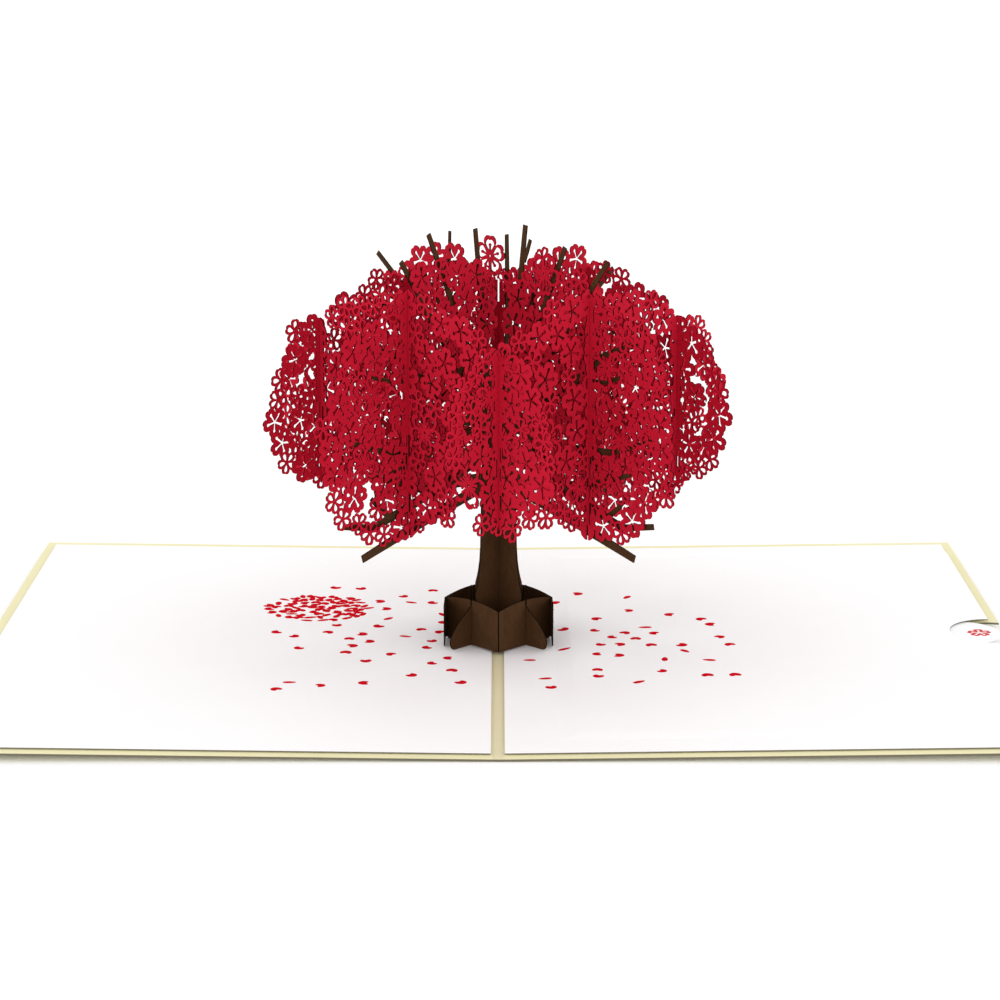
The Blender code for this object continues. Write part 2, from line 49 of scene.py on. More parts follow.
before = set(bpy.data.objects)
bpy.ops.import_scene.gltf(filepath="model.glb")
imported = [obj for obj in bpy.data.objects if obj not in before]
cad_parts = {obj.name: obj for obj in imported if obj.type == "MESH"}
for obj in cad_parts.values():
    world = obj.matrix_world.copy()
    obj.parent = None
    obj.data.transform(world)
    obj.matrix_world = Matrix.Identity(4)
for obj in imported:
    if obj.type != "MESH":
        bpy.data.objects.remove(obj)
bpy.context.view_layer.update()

# Directions of the two families of upright sheets, as turns about Z
ALONG_A = math.radians(45)
ALONG_B = math.radians(-45)


def plane_offset(node, along):
    """Distance of an upright sheet's plane from the axis.

    It is the middle of the sheet's box, measured along the sheet's normal.
    """
    low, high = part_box(node)
    middle = (low + high) / 2
    return middle.x * math.sin(along) - middle.y * math.cos(along)


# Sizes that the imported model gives
COVER_LOW, COVER_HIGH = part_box("cover")
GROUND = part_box("base_wall_front")[0].z
WALL_OFFSET = plane_offset("canopy_wall_front_right", ALONG_A)
WING_SETOFF = plane_offset("canopy_wing_back_right", ALONG_A)

TURN = 2 * math.pi
PETALS = 5

# What a shape leaves of its sheet: nothing, or paper with the finish of that number. The first pair is
# for the plain sheets and the second for the printed ones.
CUT = -1
PAPER, CREASE = 0, 1
INK, CARD = 0, 1

# Steps of a full round, of each length of a smooth loop, and of the small discs and holes in the lace
ARC_STEPS = 64
CURVE_STEPS = 10
DISC_STEPS = 10
HOLE_STEPS = 7

# How far a cut runs past the paper's edge. The two shares are of a sheet's size: points nearer than the
# first are one point, and corners that meet in a point are moved by the second. Faces that lie within
# the angle of each other are merged.
OVERRUN = 0.020
EPSILON_SHARE = 1e-6
PINCH_SHARE = 2e-4
FLAT_LIMIT = math.radians(0.2)

# Silhouette of a wall, from its middle outwards: shares of the half length and of the tree's height
WALL_TOP_SHARES = (
    (0.00, 0.874), (0.26, 0.867), (0.45, 0.838), (0.62, 0.796),
    (0.79, 0.778), (0.92, 0.705), (0.99, 0.623), (1.00, 0.554),
)
WALL_BOTTOM_SHARES = (
    (0.97, 0.483), (0.89, 0.425), (0.76, 0.384), (0.58, 0.346), (0.30, 0.323), (0.00, 0.317),
)

# Silhouette of a wing, once round: shares of its reach and of the tree's height
WING_SHARES = (
    (0.020, 0.760), (0.019, 0.862), (0.085, 0.900), (0.220, 0.935), (0.400, 0.930),
    (0.535, 0.895), (0.665, 0.856), (0.797, 0.792), (0.910, 0.706), (0.980, 0.609),
    (0.990, 0.522), (0.945, 0.437), (0.855, 0.361), (0.738, 0.304), (0.585, 0.283),
    (0.423, 0.290), (0.280, 0.317), (0.200, 0.396), (0.178, 0.532), (0.095, 0.655),
)

# Half of the trunk's outline above the ring: shares of its half width and of the tree's height
TRUNK_SHARES = (
    (1.25, 0.060), (1.27, 0.100), (1.32, 0.119), (1.22, 0.137), (1.14, 0.155), (1.07, 0.180),
    (1.02, 0.215), (0.97, 0.333), (0.90, 0.464), (0.80, 0.580),
)

# Rounded root outside the ring, from its top down: shares of the root's reach and the ring's height
ROOT_SHARES = (
    (0.0, 0.95), (0.20, 0.86), (0.49, 0.70), (0.78, 0.50), (0.96, 0.31), (1.00, 0.18),
    (0.94, 0.05), (0.80, 0.0), (0.50, 0.0),
)

# Side boughs: points as shares of the wing's reach and the tree's height, with a share of the bough's width
SIDE_BOUGH_SHARES = (
    ((0.060, 0.385, 1.15), (0.450, 0.325, 1.00), (0.740, 0.276, 0.72)),
    ((0.060, 0.459, 1.15), (0.460, 0.378, 0.92), (0.680, 0.343, 0.70), (0.835, 0.362, 0.56)),
    ((0.390, 0.397, 0.60), (0.572, 0.439, 0.55), (0.715, 0.470, 0.45)),
    ((0.055, 0.527, 1.15), (0.330, 0.498, 0.85), (0.610, 0.511, 0.62), (0.820, 0.556, 0.48)),
    ((0.050, 0.561, 1.20), (0.330, 0.622, 0.90), (0.575, 0.732, 0.62), (0.750, 0.775, 0.46)),
)

# Short forks that leave the side boughs, in the same shares
FORK_SHARES = (
    ((0.590, 0.356, 0.55), (0.650, 0.385, 0.46), (0.690, 0.412, 0.40)),
    ((0.450, 0.505, 0.55), (0.540, 0.470, 0.46), (0.610, 0.452, 0.40)),
    ((0.430, 0.668, 0.50), (0.560, 0.668, 0.44), (0.680, 0.690, 0.38)),
)

# Upper twigs of each quarter of the tree, from the crown of the trunk to the tip, in the same shares
TWIG_SHARES = {
    "back_right": (
        ((0.045, 0.541, 1.20), (0.300, 0.682, 0.70), (0.667, 0.847, 0.50)),
        ((0.045, 0.541, 1.10), (0.150, 0.722, 0.62), (0.246, 0.889, 0.50)),
        ((0.045, 0.541, 1.00), (0.052, 0.762, 0.62), (0.046, 0.967, 0.42)),
    ),
    "front_left": (
        ((0.045, 0.541, 1.20), (0.280, 0.722, 0.70), (0.524, 0.940, 0.50)),
        ((0.045, 0.541, 1.10), (0.210, 0.772, 0.62), (0.379, 0.993, 0.50)),
        ((0.045, 0.541, 1.00), (0.086, 0.772, 0.62), (0.128, 0.991, 0.50)),
    ),
    "front_right": (
        ((0.045, 0.541, 1.20), (0.300, 0.722, 0.70), (0.584, 0.942, 0.50)),
        ((0.045, 0.541, 1.10), (0.200, 0.752, 0.62), (0.361, 0.962, 0.50)),
        ((0.045, 0.541, 1.00), (0.100, 0.772, 0.62), (0.148, 1.000, 0.54)),
        ((0.140, 0.915, 0.44), (0.158, 0.940, 0.40), (0.175, 0.968, 0.36)),
    ),
    "back_left": (
        ((0.045, 0.541, 1.20), (0.320, 0.702, 0.70), (0.704, 0.883, 0.50)),
        ((0.045, 0.541, 1.10), (0.250, 0.722, 0.62), (0.455, 0.871, 0.50)),
        ((0.045, 0.541, 0.90), (0.285, 0.800, 0.46), (0.275, 0.961, 0.32)),
    ),
}


def length(text, value, what=""):
    """A property that holds a length."""
    return FloatProperty(
        name=text, description=what or text, default=value, min=0, precision=5, unit="LENGTH"
    )


def angle(text, degrees, what):
    """A property that holds an angle."""
    return FloatProperty(name=text, description=what, default=math.radians(degrees), unit="ROTATION")


def share(text, value, what=""):
    """A property that holds a share or a plain factor."""
    return FloatProperty(name=text, description=what or text, default=value, min=0, precision=3)


def colour(text, value):
    """A property that holds a paper's colour."""
    return FloatVectorProperty(
        name=text, description=text, default=value, min=0, max=1, size=3, subtype="COLOR"
    )


class CardSizes(PropertyGroup):
    """Sizes of the folded card and of what is glued or tucked into it."""

    page_width: length("Page width", 0.127, "From the spine's middle to the page's outer edge")
    page_height: length("Page height", COVER_HIGH.y - COVER_LOW.y, "Along the spine")
    cover_thickness: length("Cover thickness", 0.0005)
    spine_width: length("Spine width", 0.0024, "Flat strip between the two scores")
    page_lift: angle("Page lift", 0.75, "How far each page rises from the table")
    liner_thickness: length("Liner thickness", 0.00025)
    liner_margin: length("Liner margin", 0.0027, "Cream border left round the liners")
    left_clearance: length("Left liner clearance", 0.0003, "From the spine, more than the right liner's")
    back_clearance: length("Back clearance", 0.0012, "Extra width of the border at the page's back edge")
    ply_gap: length("Ply gap", 0.0002, "Glue line between two plies")
    notch_radius: length("Notch radius", 0.0102, "Thumb notch in the right page")
    notch_setback: length("Notch setback", 0.0037, "From the page's edge in to the notch's centre")
    note_thickness: length("Note card thickness", 0.0002)
    note_inner_edge: length("Note card inner edge", 0.022)
    note_outer_edge: length("Note card outer edge", 0.118)
    note_height: length("Note card height", 0.140)
    tab_radius: length("Tab radius", 0.0097)
    tab_setback: length("Tab setback", 0.0110, "From the page's edge in to the tab's centre")
    tab_motif_radius: length("Tab motif radius", 0.0031, "Small printed blossom on the tab")
    pocket_slope: length("Pocket slope", 0.0040, "Width of the right liner's rise over the note card")


class TreeSizes(PropertyGroup):
    """Sizes of the ring, the trunk sheets and the lattice."""

    height: length("Tree height", 0.1045, "Above the ring's foot")
    sheet: length("Sheet thickness", 0.0003)
    slot: length("Slot width", 0.00048)
    ring_half_diagonal: length("Ring half diagonal", 0.0133)
    ring_height: length("Ring height", 0.0103)
    ring_arch: length("Ring arch", 0.0012, "Rise of each face's curved top")
    ring_flap: length("Ring flap", 0.0078)
    ring_flap_lean: length("Ring flap lean", 0.00010, "How far a flap's front end stands out")
    ring_crease: length("Ring crease", 0.00013, "Width of the dark line at a fold")
    ring_slot_depth: length("Ring slot depth", 0.0055)
    ring_joint_setback: length("Ring joint setback", 0.0009)
    trunk_half_width: length("Trunk half width", 0.0062)
    trunk_slot_height: length("Trunk slot height", 0.0300)
    root_length: length("Root length", 0.0074)
    bough_width: length("Bough width", 0.0026)
    lattice_offset: length("Lattice offset", WALL_OFFSET, "From the axis to each red wall")
    wall_half_length: length("Wall half length", 0.0495)
    wing_length: length("Wing length", 0.0615)
    wing_setoff: length("Wing setoff", WING_SETOFF, "From the trunk sheet's plane to the wing beside it")
    interlock_height: length("Interlock height", 0.0600)


class LaceStyle(PropertyGroup):
    """The cut blossoms of the red sheets."""

    small_radius: length("Small blossom radius", 0.0031)
    star_radius: length("Star-cut blossom radius", 0.0041)
    great_radius: length("Large blossom radius", 0.0055)
    crown_radius: length("Crown blossom radius", 0.0056)
    crown_height: length("Crown blossom height", 0.0890)
    crown_setback: length("Crown blossom setback", 0.0031)
    foot_radius: length("Crown foot radius", 0.0044, "Blossom that carries the crown blossom")
    crown_lean: length("Crown lean", 0.0036, "From the crown blossom sideways to the one that carries it")
    crown_drop: length("Crown drop", 0.0054, "From the crown blossom down to the one that carries it")
    radius_spread: share("Radius spread", 0.08, "Share by which a blossom's radius may differ")
    rim_closeness: share("Rim closeness", 0.92, "Spacing on the rim over the sum of two radii")
    great_closeness: share("Large blossoms' closeness", 0.80, "The same in the field, for large ones")
    star_closeness: share("Star blossoms' closeness", 0.80, "The same, for star-cut ones")
    small_closeness: share("Small blossoms' closeness", 0.77, "The same, for small ones")
    rim_wander: length("Rim wander", 0.0028, "How far a rim blossom may stand in or out")
    field_inset: length("Field inset", 0.0050, "From the silhouette in to the field's blossoms")
    dot_radius: length("Dot radius", 0.00042)
    dot_pitch: length("Dot pitch", 0.0030)
    dash_width: length("Dash width", 0.0006, "Slits along the lower end of a seam")
    dash_length: length("Dash length", 0.0042)
    back_corner_rise: length("Back corner rise", 0.0026, "Extra height of the back walls at their corner")
    slit_width: length("Slit width", 0.0008, "Open top of the slots at the back corner")
    slit_length: length("Slit length", 0.0060)
    seam_band: length("Seam band", 0.0046, "Paper on both sides of a slot, under the blossoms")
    seam_rib: length("Seam rib", 0.0026, "Solid paper on both sides of a slot, over the blossoms")
    seed: IntProperty(name="Seed", description="Start of the blossoms' layout", default=4)


class PrintStyle(PropertyGroup):
    """The petals printed on the liners."""

    petal_length: length("Petal length", 0.0033)
    heap_x: length("Heap distance", 0.0465, "From the spine out to the heap's middle")
    heap_y: length("Heap depth", 0.0250, "From the card's middle back to the heap's middle")
    heap_half_width: length("Heap half width", 0.0133)
    heap_half_depth: length("Heap half depth", 0.0115)
    heap_count: IntProperty(name="Heap petals", description="Petals in the heap", default=110)
    scatter_count: IntProperty(name="Scattered petals", description="Loose petals on each page", default=40)
    scatter_reach: length("Scatter reach", 0.058)
    seed: IntProperty(name="Seed", description="Start of the petals' layout", default=7)


class PaperColours(PropertyGroup):
    """Colours of the papers, their cut edges and the ink. The spine's tone and the cream and white cut
    edges are painted shade.
    """

    cream: colour("Cream card", (0.815, 0.765, 0.475))
    # Painted shade: the cream card's cut edge is darkened to stand in for the shadow along the cover's
    # front edge
    cream_edge_shade: colour("Cream card, burnt edge", (0.16, 0.145, 0.10))
    # Painted shade: the spine's tone, darker than the cream, stands in for the shade in the fold
    spine: colour("Spine between the scores", (0.75, 0.69, 0.445))
    white: colour("White paper", (0.93, 0.93, 0.93))
    # Painted shade: the liners' cut edge is darkened to stand in for the shadow line along each liner's
    # edge
    white_edge_shade: colour("White paper, burnt edge", (0.17, 0.16, 0.13))
    red: colour("Red paper", (0.462, 0.006, 0.0235))
    red_edge: colour("Red paper, burnt edge", (0.045, 0.003, 0.004))
    brown: colour("Brown paper", (0.055, 0.0245, 0.0088))
    brown_edge: colour("Brown paper, burnt edge", (0.008, 0.005, 0.003))
    ink: colour("Petal ink", (0.60, 0.006, 0.016))


class StageSettings(PropertyGroup):
    """Camera, soft light and floor."""

    camera_distance: length("Camera distance", 0.6440)
    camera_height: length("Camera height", 0.1975)
    camera_pitch: angle("Camera pitch", 14.02, "How far the camera looks down")
    camera_lens: share("Camera lens", 96.65, "Focal length in millimetres")
    camera_shift: share("Camera shift", 0.0015)
    low_light: share("Low light", 1.68, "Brightness of the soft light all round, near the horizon")
    high_light: share("High light", 0.96, "Brightness of the soft light from above")
    floor_shade: share("Floor shade", 0.92, "How much light the floor gives back")
    floor_glow: share("Floor glow", 0.08, "What the floor adds for the camera alone")
    floor_half: length("Floor half size", 3.0)


class PopUpCard(PropertyGroup):
    """All the settings of the card."""

    card: PointerProperty(type=CardSizes)
    tree: PointerProperty(type=TreeSizes)
    lace: PointerProperty(type=LaceStyle)
    prints: PointerProperty(type=PrintStyle)
    colours: PointerProperty(type=PaperColours)
    stage: PointerProperty(type=StageSettings)


# Finishes

# How many times as broad as the fibre the cloud is, where between the noise's ends the tint's own ends
# lie, and where the painted shade between the spine's scores starts and is full, in half widths of the
# spine
CLOUD_BREADTH = 18
TINT_ENDS = (0.30, 0.70)
SPINE_SHADE_ENDS = (1.4, 0.9)


def add_node(nodes, kind, inputs=None):
    """A new shader node, with constants on the inputs that are named."""
    node = nodes.new(kind)
    for name, value in (inputs or {}).items():
        node.inputs[name].default_value = value
    return node


def paper_finish(
    name, tint, spread=0.05, grain=1500.0, rough=0.85, relief=0.12, fibre=(1.0, 1.0, 1.0), sheen=0.25
):
    """Matt paper: fine fibre noise and a broad cloud move the tint, and the fibre raises the surface.

    The tint moves by the share spread, grain is the noise's scale, and fibre draws it out along an axis.
    """
    material = bpy.data.materials.new(name)
    material.use_nodes = True
    nodes, links = material.node_tree.nodes, material.node_tree.links
    shader = nodes["Principled BSDF"]
    shader.inputs["Roughness"].default_value = rough
    shader.inputs["Specular IOR Level"].default_value = sheen
    place = add_node(nodes, "ShaderNodeTexCoord")
    stretch = add_node(nodes, "ShaderNodeMapping", {"Scale": fibre})
    links.new(place.outputs["Object"], stretch.inputs["Vector"])

    fine = add_node(
        nodes, "ShaderNodeTexNoise", {"Scale": grain, "Detail": 6.0, "Roughness": 0.62, "Distortion": 0.6}
    )
    cloud = add_node(nodes, "ShaderNodeTexNoise", {"Scale": grain / CLOUD_BREADTH, "Detail": 3.0})
    for noise in (fine, cloud):
        links.new(stretch.outputs["Vector"], noise.inputs["Vector"])

    blend = add_node(nodes, "ShaderNodeMix", {"Factor": 0.35})
    links.new(fine.outputs["Fac"], blend.inputs["A"])
    links.new(cloud.outputs["Fac"], blend.inputs["B"])
    ramp = add_node(nodes, "ShaderNodeValToRGB")
    for end, position, change in zip(ramp.color_ramp.elements, TINT_ENDS, (-spread, spread)):
        end.position = position
        end.color = (*[min(1.0, c * (1 + change)) for c in tint], 1)
    links.new(blend.outputs["Result"], ramp.inputs["Fac"])
    links.new(ramp.outputs["Color"], shader.inputs["Base Color"])

    bump = add_node(nodes, "ShaderNodeBump", {"Strength": relief, "Distance": 0.0001})
    links.new(fine.outputs["Fac"], bump.inputs["Height"])
    links.new(bump.outputs["Normal"], shader.inputs["Normal"])
    material.diffuse_color = (*tint, 1)
    return material


def spine_shade_finish(material, painted_shade_tint, half_width):
    """Painted shade: darkens a paper between the spine's scores, where shade falls in the fold.

    The painted shade's tint multiplies the paper's by a soft step on the distance from x = 0.
    """
    nodes, links = material.node_tree.nodes, material.node_tree.links
    shader = nodes["Principled BSDF"]
    ramp = shader.inputs["Base Color"].links[0].from_node
    place = add_node(nodes, "ShaderNodeTexCoord")
    parts = add_node(nodes, "ShaderNodeSeparateXYZ")
    away = add_node(nodes, "ShaderNodeMath")
    away.operation = "ABSOLUTE"
    outer, inner = (half_width * end for end in SPINE_SHADE_ENDS)
    inside = add_node(nodes, "ShaderNodeMapRange", {"From Min": outer, "From Max": inner})
    inside.interpolation_type = "SMOOTHSTEP"
    toned = add_node(nodes, "ShaderNodeMix")
    toned.data_type = "RGBA"
    toned.blend_type = "MULTIPLY"
    links.new(place.outputs["Object"], parts.inputs["Vector"])
    links.new(parts.outputs["X"], away.inputs[0])
    links.new(away.outputs["Value"], inside.inputs["Value"])
    links.new(inside.outputs["Result"], toned.inputs["Factor"])
    colour_in = [socket for socket in toned.inputs if socket.type == "RGBA"]
    colour_in[1].default_value = (*painted_shade_tint, 1)
    links.new(ramp.outputs["Color"], colour_in[0])
    colour_out = [socket for socket in toned.outputs if socket.type == "RGBA"]
    links.new(colour_out[0], shader.inputs["Base Color"])
    return material


def shared_finishes(paper, edge, tint, edge_tint, **look):
    """A paper and its burnt edge, made once and then shared by the sheets that are cut from it."""
    made = [bpy.data.materials.get(name) for name in (paper, edge)]
    if all(made):
        return made
    return [paper_finish(paper, tint, **look), paper_finish(edge, edge_tint, spread=0.2, sheen=0.0)]


def brown_finishes(colours):
    """The grained brown paper of the ring and the trunk sheets."""
    return shared_finishes(
        "brown_grained_paper", "brown_burnt_edge", colours.brown, colours.brown_edge,
        spread=0.30, grain=900, rough=0.75, relief=0.25, fibre=(1.0, 1.0, 0.45), sheen=0.08,
    )


def red_finishes(colours):
    """The red paper of the lace."""
    return shared_finishes(
        "red_lace_paper", "red_burnt_edge", colours.red, colours.red_edge,
        spread=0.09, grain=1100, rough=0.80, relief=0.15, sheen=0.08,
    )


# Flat outlines


def rectangle(left, bottom, right, top):
    """Four corners, anticlockwise."""
    return np.array([(left, bottom), (right, bottom), (right, top), (left, top)], dtype=float)


def disc(centre, radius, steps=ARC_STEPS):
    """Points at centre + radius (cos t, sin t), with t evenly from 0 to a full turn."""
    t = np.linspace(0, TURN, steps, endpoint=False)
    return np.array(centre) + radius * np.stack([np.cos(t), np.sin(t)], axis=1)


def placed(shape, centre, size, turn):
    """A unit shape, turned, scaled by size and moved to the centre."""
    c, s = math.cos(turn), math.sin(turn)
    return shape @ np.array([[c, s], [-s, c]]) * size + np.array(centre)


def around(shape):
    """A unit shape that lies along +x, repeated once for each petal: petals by points by two."""
    turns = TURN * np.arange(PETALS) / PETALS
    c, s = np.cos(turns), np.sin(turns)
    spin = np.stack([np.stack([c, s], axis=1), np.stack([-s, c], axis=1)], axis=1)
    return shape @ spin


def petal_reach(u, waist=0.56, notch=0.12):
    """How far a petal reaches at u, from -1 to 1 across it: a flat-topped dome with a notch in its tip.

    It is waist + (1 - waist) (1 - |u|^2.4)^0.6, less the notch times a narrow bell round u = 0.
    """
    dome = waist + (1 - waist) * (1 - np.abs(u) ** 2.4) ** 0.60
    return dome - notch * np.exp(-((u / 0.10) ** 2))


def petal_points(u, reach):
    """Points at that reach, at u half petals from the petal's middle line."""
    angle = u * math.pi / PETALS
    return np.stack([reach * np.cos(angle), reach * np.sin(angle)], axis=1)


def lollipop(root, reach, stem, knob):
    """A thin bar from root to a round head of radius knob at reach, along +x.

    The head is the circle's arc from -2.5 to 2.5 radians, and the bar's half width is stem.
    """
    t = np.linspace(-2.5, 2.5, 7)
    x = np.concatenate([[root], reach + knob * np.cos(t), [root]])
    y = np.concatenate([[-stem], knob * np.sin(t), [stem]])
    return np.stack([x, y], axis=1)


def teardrop(tip, end, half, steps=10):
    """A rounded window from tip to end along +x: an ellipse that narrows towards the tip.

    Its half width goes by sin t times (0.66 + 0.34 cos t), with t from 0 to a full turn.
    """
    t = np.linspace(0, TURN, steps, endpoint=False)
    x = (tip + end) / 2 + (end - tip) / 2 * np.cos(t)
    return np.stack([x, half * np.sin(t) * (0.66 + 0.34 * np.cos(t))], axis=1)


def opening(tip, rim, spread, steps):
    """The window in a large petal: from a tip near the middle out to the petal's own dome less a rim.

    Its two shoulders stand at 0.44 of the petal's reach, a little nearer the petal's middle line.
    """
    u = np.linspace(-spread, spread, steps)
    arc = petal_points(u, petal_reach(u, notch=0.05) - rim)
    shoulder = petal_points(np.array([-spread, spread]) * 0.92, np.full(2, 0.44))
    return np.vstack([[(tip, 0.0)], shoulder[:1], arc, shoulder[1:]])


# Unit shapes of the blossoms: the outline, what is cut from it, and a stamen with its leans and sizes
OUTLINE_U = np.array([-1.0, -0.86, -0.62, -0.36, -0.10, 0.0, 0.10, 0.36, 0.62, 0.86])
BLOSSOM = around(petal_points(OUTLINE_U, petal_reach(OUTLINE_U))).reshape(-1, 2)
STAR = around(lollipop(0.082, 0.56, 0.055, 0.118)).reshape(-1, 2)
SMALL_WINDOWS = around(teardrop(0.17, 0.80, 0.26))
GREAT_WINDOWS = around(opening(0.18, 0.22, 0.77, 9))
STAMEN = lollipop(0.0, 0.46, 0.028, 0.072)
STAMEN_LEANS = ((-0.19, 0.84), (0.19, 1.0))
CROWN_STAMEN_LEANS = ((0.0, 1.12),)
MIDDLE_SHARE, PIERCED_SHARE = 0.13, 0.06


def small_blossom(centre, size, turn):
    """An open blossom with one window in each petal."""
    shapes = [(placed(BLOSSOM, centre, size, turn), PAPER)]
    return shapes + [(placed(window, centre, size, turn), CUT) for window in SMALL_WINDOWS]


def star_blossom(centre, size, turn):
    """A solid blossom with a five-armed star cut from it."""
    return [(placed(BLOSSOM, centre, size, turn), PAPER), (placed(STAR, centre, size, turn), CUT)]


def great_blossom(centre, size, turn, stamens=STAMEN_LEANS):
    """A large open blossom with a pierced middle, and stamens in each petal by their leans and sizes."""
    shapes = [(placed(BLOSSOM, centre, size, turn), PAPER)]
    shapes += [(placed(window, centre, size, turn), CUT) for window in GREAT_WINDOWS]
    for petal in range(PETALS):
        along = turn + TURN * petal / PETALS
        for lean, tall in stamens:
            shapes.append((placed(STAMEN, centre, size * tall, along + lean), PAPER))
    shapes.append((disc(centre, size * MIDDLE_SHARE, steps=8), PAPER))
    shapes.append((disc(centre, size * PIERCED_SHARE, steps=6), CUT))
    return shapes


BLOSSOM_KINDS = (small_blossom, star_blossom, great_blossom)


def printed_petal(centre, size, turn, kind):
    """A printed petal: a plain leaf for kind 0, and otherwise a heart with a notched tip.

    The leaf is an ellipse that narrows towards one end. The heart is a circle whose tip is drawn in by a
    bell round t = 0, whose other side is flatter, and whose sides narrow away from the tip.
    """
    t = np.linspace(-math.pi, math.pi, 18, endpoint=False)
    if kind == 0:
        x, y = np.cos(t), 0.56 * np.sin(t) * (0.85 + 0.15 * np.cos(t))
    else:
        x = np.cos(t) * np.where(np.cos(t) < 0, 0.72, 1 - 0.50 * np.exp(-((t / 0.42) ** 2)))
        y = np.sin(t) * (0.84 + 0.16 * np.cos(t))
    return placed(np.stack([x, y], axis=1), centre, size, turn)


def smooth_loop(points):
    """A closed Catmull-Rom curve through the points."""
    corners = np.array(points)
    before, after = np.roll(corners, 1, axis=0), np.roll(corners, -1, axis=0)
    beyond = np.roll(corners, -2, axis=0)
    steps = np.linspace(0, 1, CURVE_STEPS, endpoint=False)[None, :, None]
    p0, p1, p2, p3 = (q[:, None, :] for q in (before, corners, after, beyond))
    curve = p1 + (p2 - p0) * steps / 2
    curve += (p0 - 2.5 * p1 + 2 * p2 - p3 / 2) * steps**2
    curve += (1.5 * (p1 - p2) + (p3 - p0) / 2) * steps**3
    return curve.reshape(-1, 2)


def doubled_area(outline):
    """Twice the area inside an outline, below zero where it runs clockwise."""
    x, y = outline.T
    return float(np.sum(x * np.roll(y, -1) - y * np.roll(x, -1)))


def stations_on(loop, stations):
    """Points at shares of the way along a closed curve, with the outward direction at each.

    The direction along the curve is taken between two points, a two-hundredth of its length to each side.
    """
    closed = np.vstack([loop, loop[:1]])
    travelled = np.concatenate([[0], np.cumsum(np.linalg.norm(np.diff(closed, axis=0), axis=1))])
    away = np.asarray(stations) * travelled[-1]
    step = travelled[-1] / 200

    def at(distance):
        wrapped = np.mod(distance, travelled[-1])
        return np.stack([np.interp(wrapped, travelled, closed[:, k]) for k in (0, 1)], axis=1)

    along = at(away + step) - at(away - step)
    along /= np.linalg.norm(along, axis=1)[:, None]
    outward = np.stack([along[:, 1], -along[:, 0]], axis=1) * math.copysign(1, doubled_area(loop))
    return at(away), outward


def depth_inside(points, loop):
    """Distance of each point from a closed outline, below zero outside it.

    A point is inside if a level line from it towards +x crosses the outline an odd number of times.
    """
    ends = np.roll(loop, -1, axis=0)
    sides = ends - loop
    from_start = points[:, None] - loop[None]
    share_along = np.clip((from_start * sides).sum(-1) / (sides * sides).sum(-1), 0, 1)
    near = np.linalg.norm(from_start - share_along[..., None] * sides, axis=-1).min(axis=1)
    y = points[:, 1, None]
    crosses = (loop[None, :, 1] > y) != (ends[None, :, 1] > y)
    rise = np.where(sides[:, 1] == 0, 1, sides[:, 1])
    x = loop[None, :, 0] + (y - loop[None, :, 1]) * sides[None, :, 0] / rise[None]
    odd = (crosses & (points[:, 0, None] < x)).sum(axis=1) % 2 == 1
    return np.where(odd, near, -near)


def ribbon(points, widths):
    """The outline of a bough: a line of points widened to both sides, with square ends."""
    line = np.array(points)
    along = np.gradient(line, axis=0)
    along /= np.linalg.norm(along, axis=1)[:, None]
    aside = np.stack([-along[:, 1], along[:, 0]], axis=1) * np.array(widths)[:, None] / 2
    return np.vstack([line - aside, (line + aside)[::-1]])


# Sheets


def largest_island(mesh):
    """Removes every piece of a flat mesh but the one with the largest area."""
    loose, islands = set(mesh.faces), []
    while loose:
        queue = [loose.pop()]
        island = []
        while queue:
            face = queue.pop()
            island.append(face)
            for edge in face.edges:
                for other in edge.link_faces:
                    if other in loose:
                        loose.discard(other)
                        queue.append(other)
        islands.append(island)
    islands.sort(key=lambda faces: sum(face.calc_area() for face in faces))
    waste = [face for island in islands[:-1] for face in island]
    bmesh.ops.delete(mesh, geom=waste, context="FACES")


def part_pinches(mesh, nudge):
    """Where two corners of a flat mesh meet in one point, gives each a point of its own, moved inwards."""
    for vert in list(mesh.verts):
        if sum(edge.is_boundary for edge in vert.link_edges) < 4:
            continue
        for corner in bmesh.utils.vert_separate(vert, [e for e in vert.link_edges if e.is_boundary]):
            middle = sum((f.calc_center_median() for f in corner.link_faces), Vector())
            middle /= len(corner.link_faces)
            corner.co = corner.co + (middle - corner.co).normalized() * nudge


def cut_paper(name, shapes, size):
    """A flat mesh of the paper that is left when shapes are laid over each other in order.

    Each shape is an outline and its paint: CUT, or the number of a finish. Where two overlap, the later
    wins. The outlines are triangulated together, and a triangle is kept if the last shape over it is paper.
    """
    outlines = [o if doubled_area(o) > 0 else o[::-1] for o, _ in shapes]
    starts = np.concatenate([[0], np.cumsum([len(o) for o in outlines])])
    rings = [list(range(a, b)) for a, b in zip(starts, starts[1:])]
    points = [Vector(p) for p in np.vstack(outlines)]
    cut = geometry.delaunay_2d_cdt(points, [], rings, 1, EPSILON_SHARE * size)
    verts, faces, owners = cut[0], cut[2], cut[5]
    paints = [shapes[max(owner)][1] if owner else CUT for owner in owners]
    kept = [(face, paint) for face, paint in zip(faces, paints) if paint != CUT]
    if not kept:
        raise RuntimeError(f"no paper is left of {name}")
    data = bpy.data.meshes.new(name)
    flat = np.zeros((len(verts), 3))
    flat[:, :2] = np.array([tuple(v) for v in verts])
    data.from_pydata(flat, [], [face for face, _ in kept])
    data.polygons.foreach_set("material_index", [paint for _, paint in kept])
    mesh = bmesh.new()
    mesh.from_mesh(data)
    largest_island(mesh)
    part_pinches(mesh, size * PINCH_SHARE)
    bmesh.ops.delete(mesh, geom=[v for v in mesh.verts if not v.link_faces], context="VERTS")
    mesh.to_mesh(data)
    mesh.free()
    return data


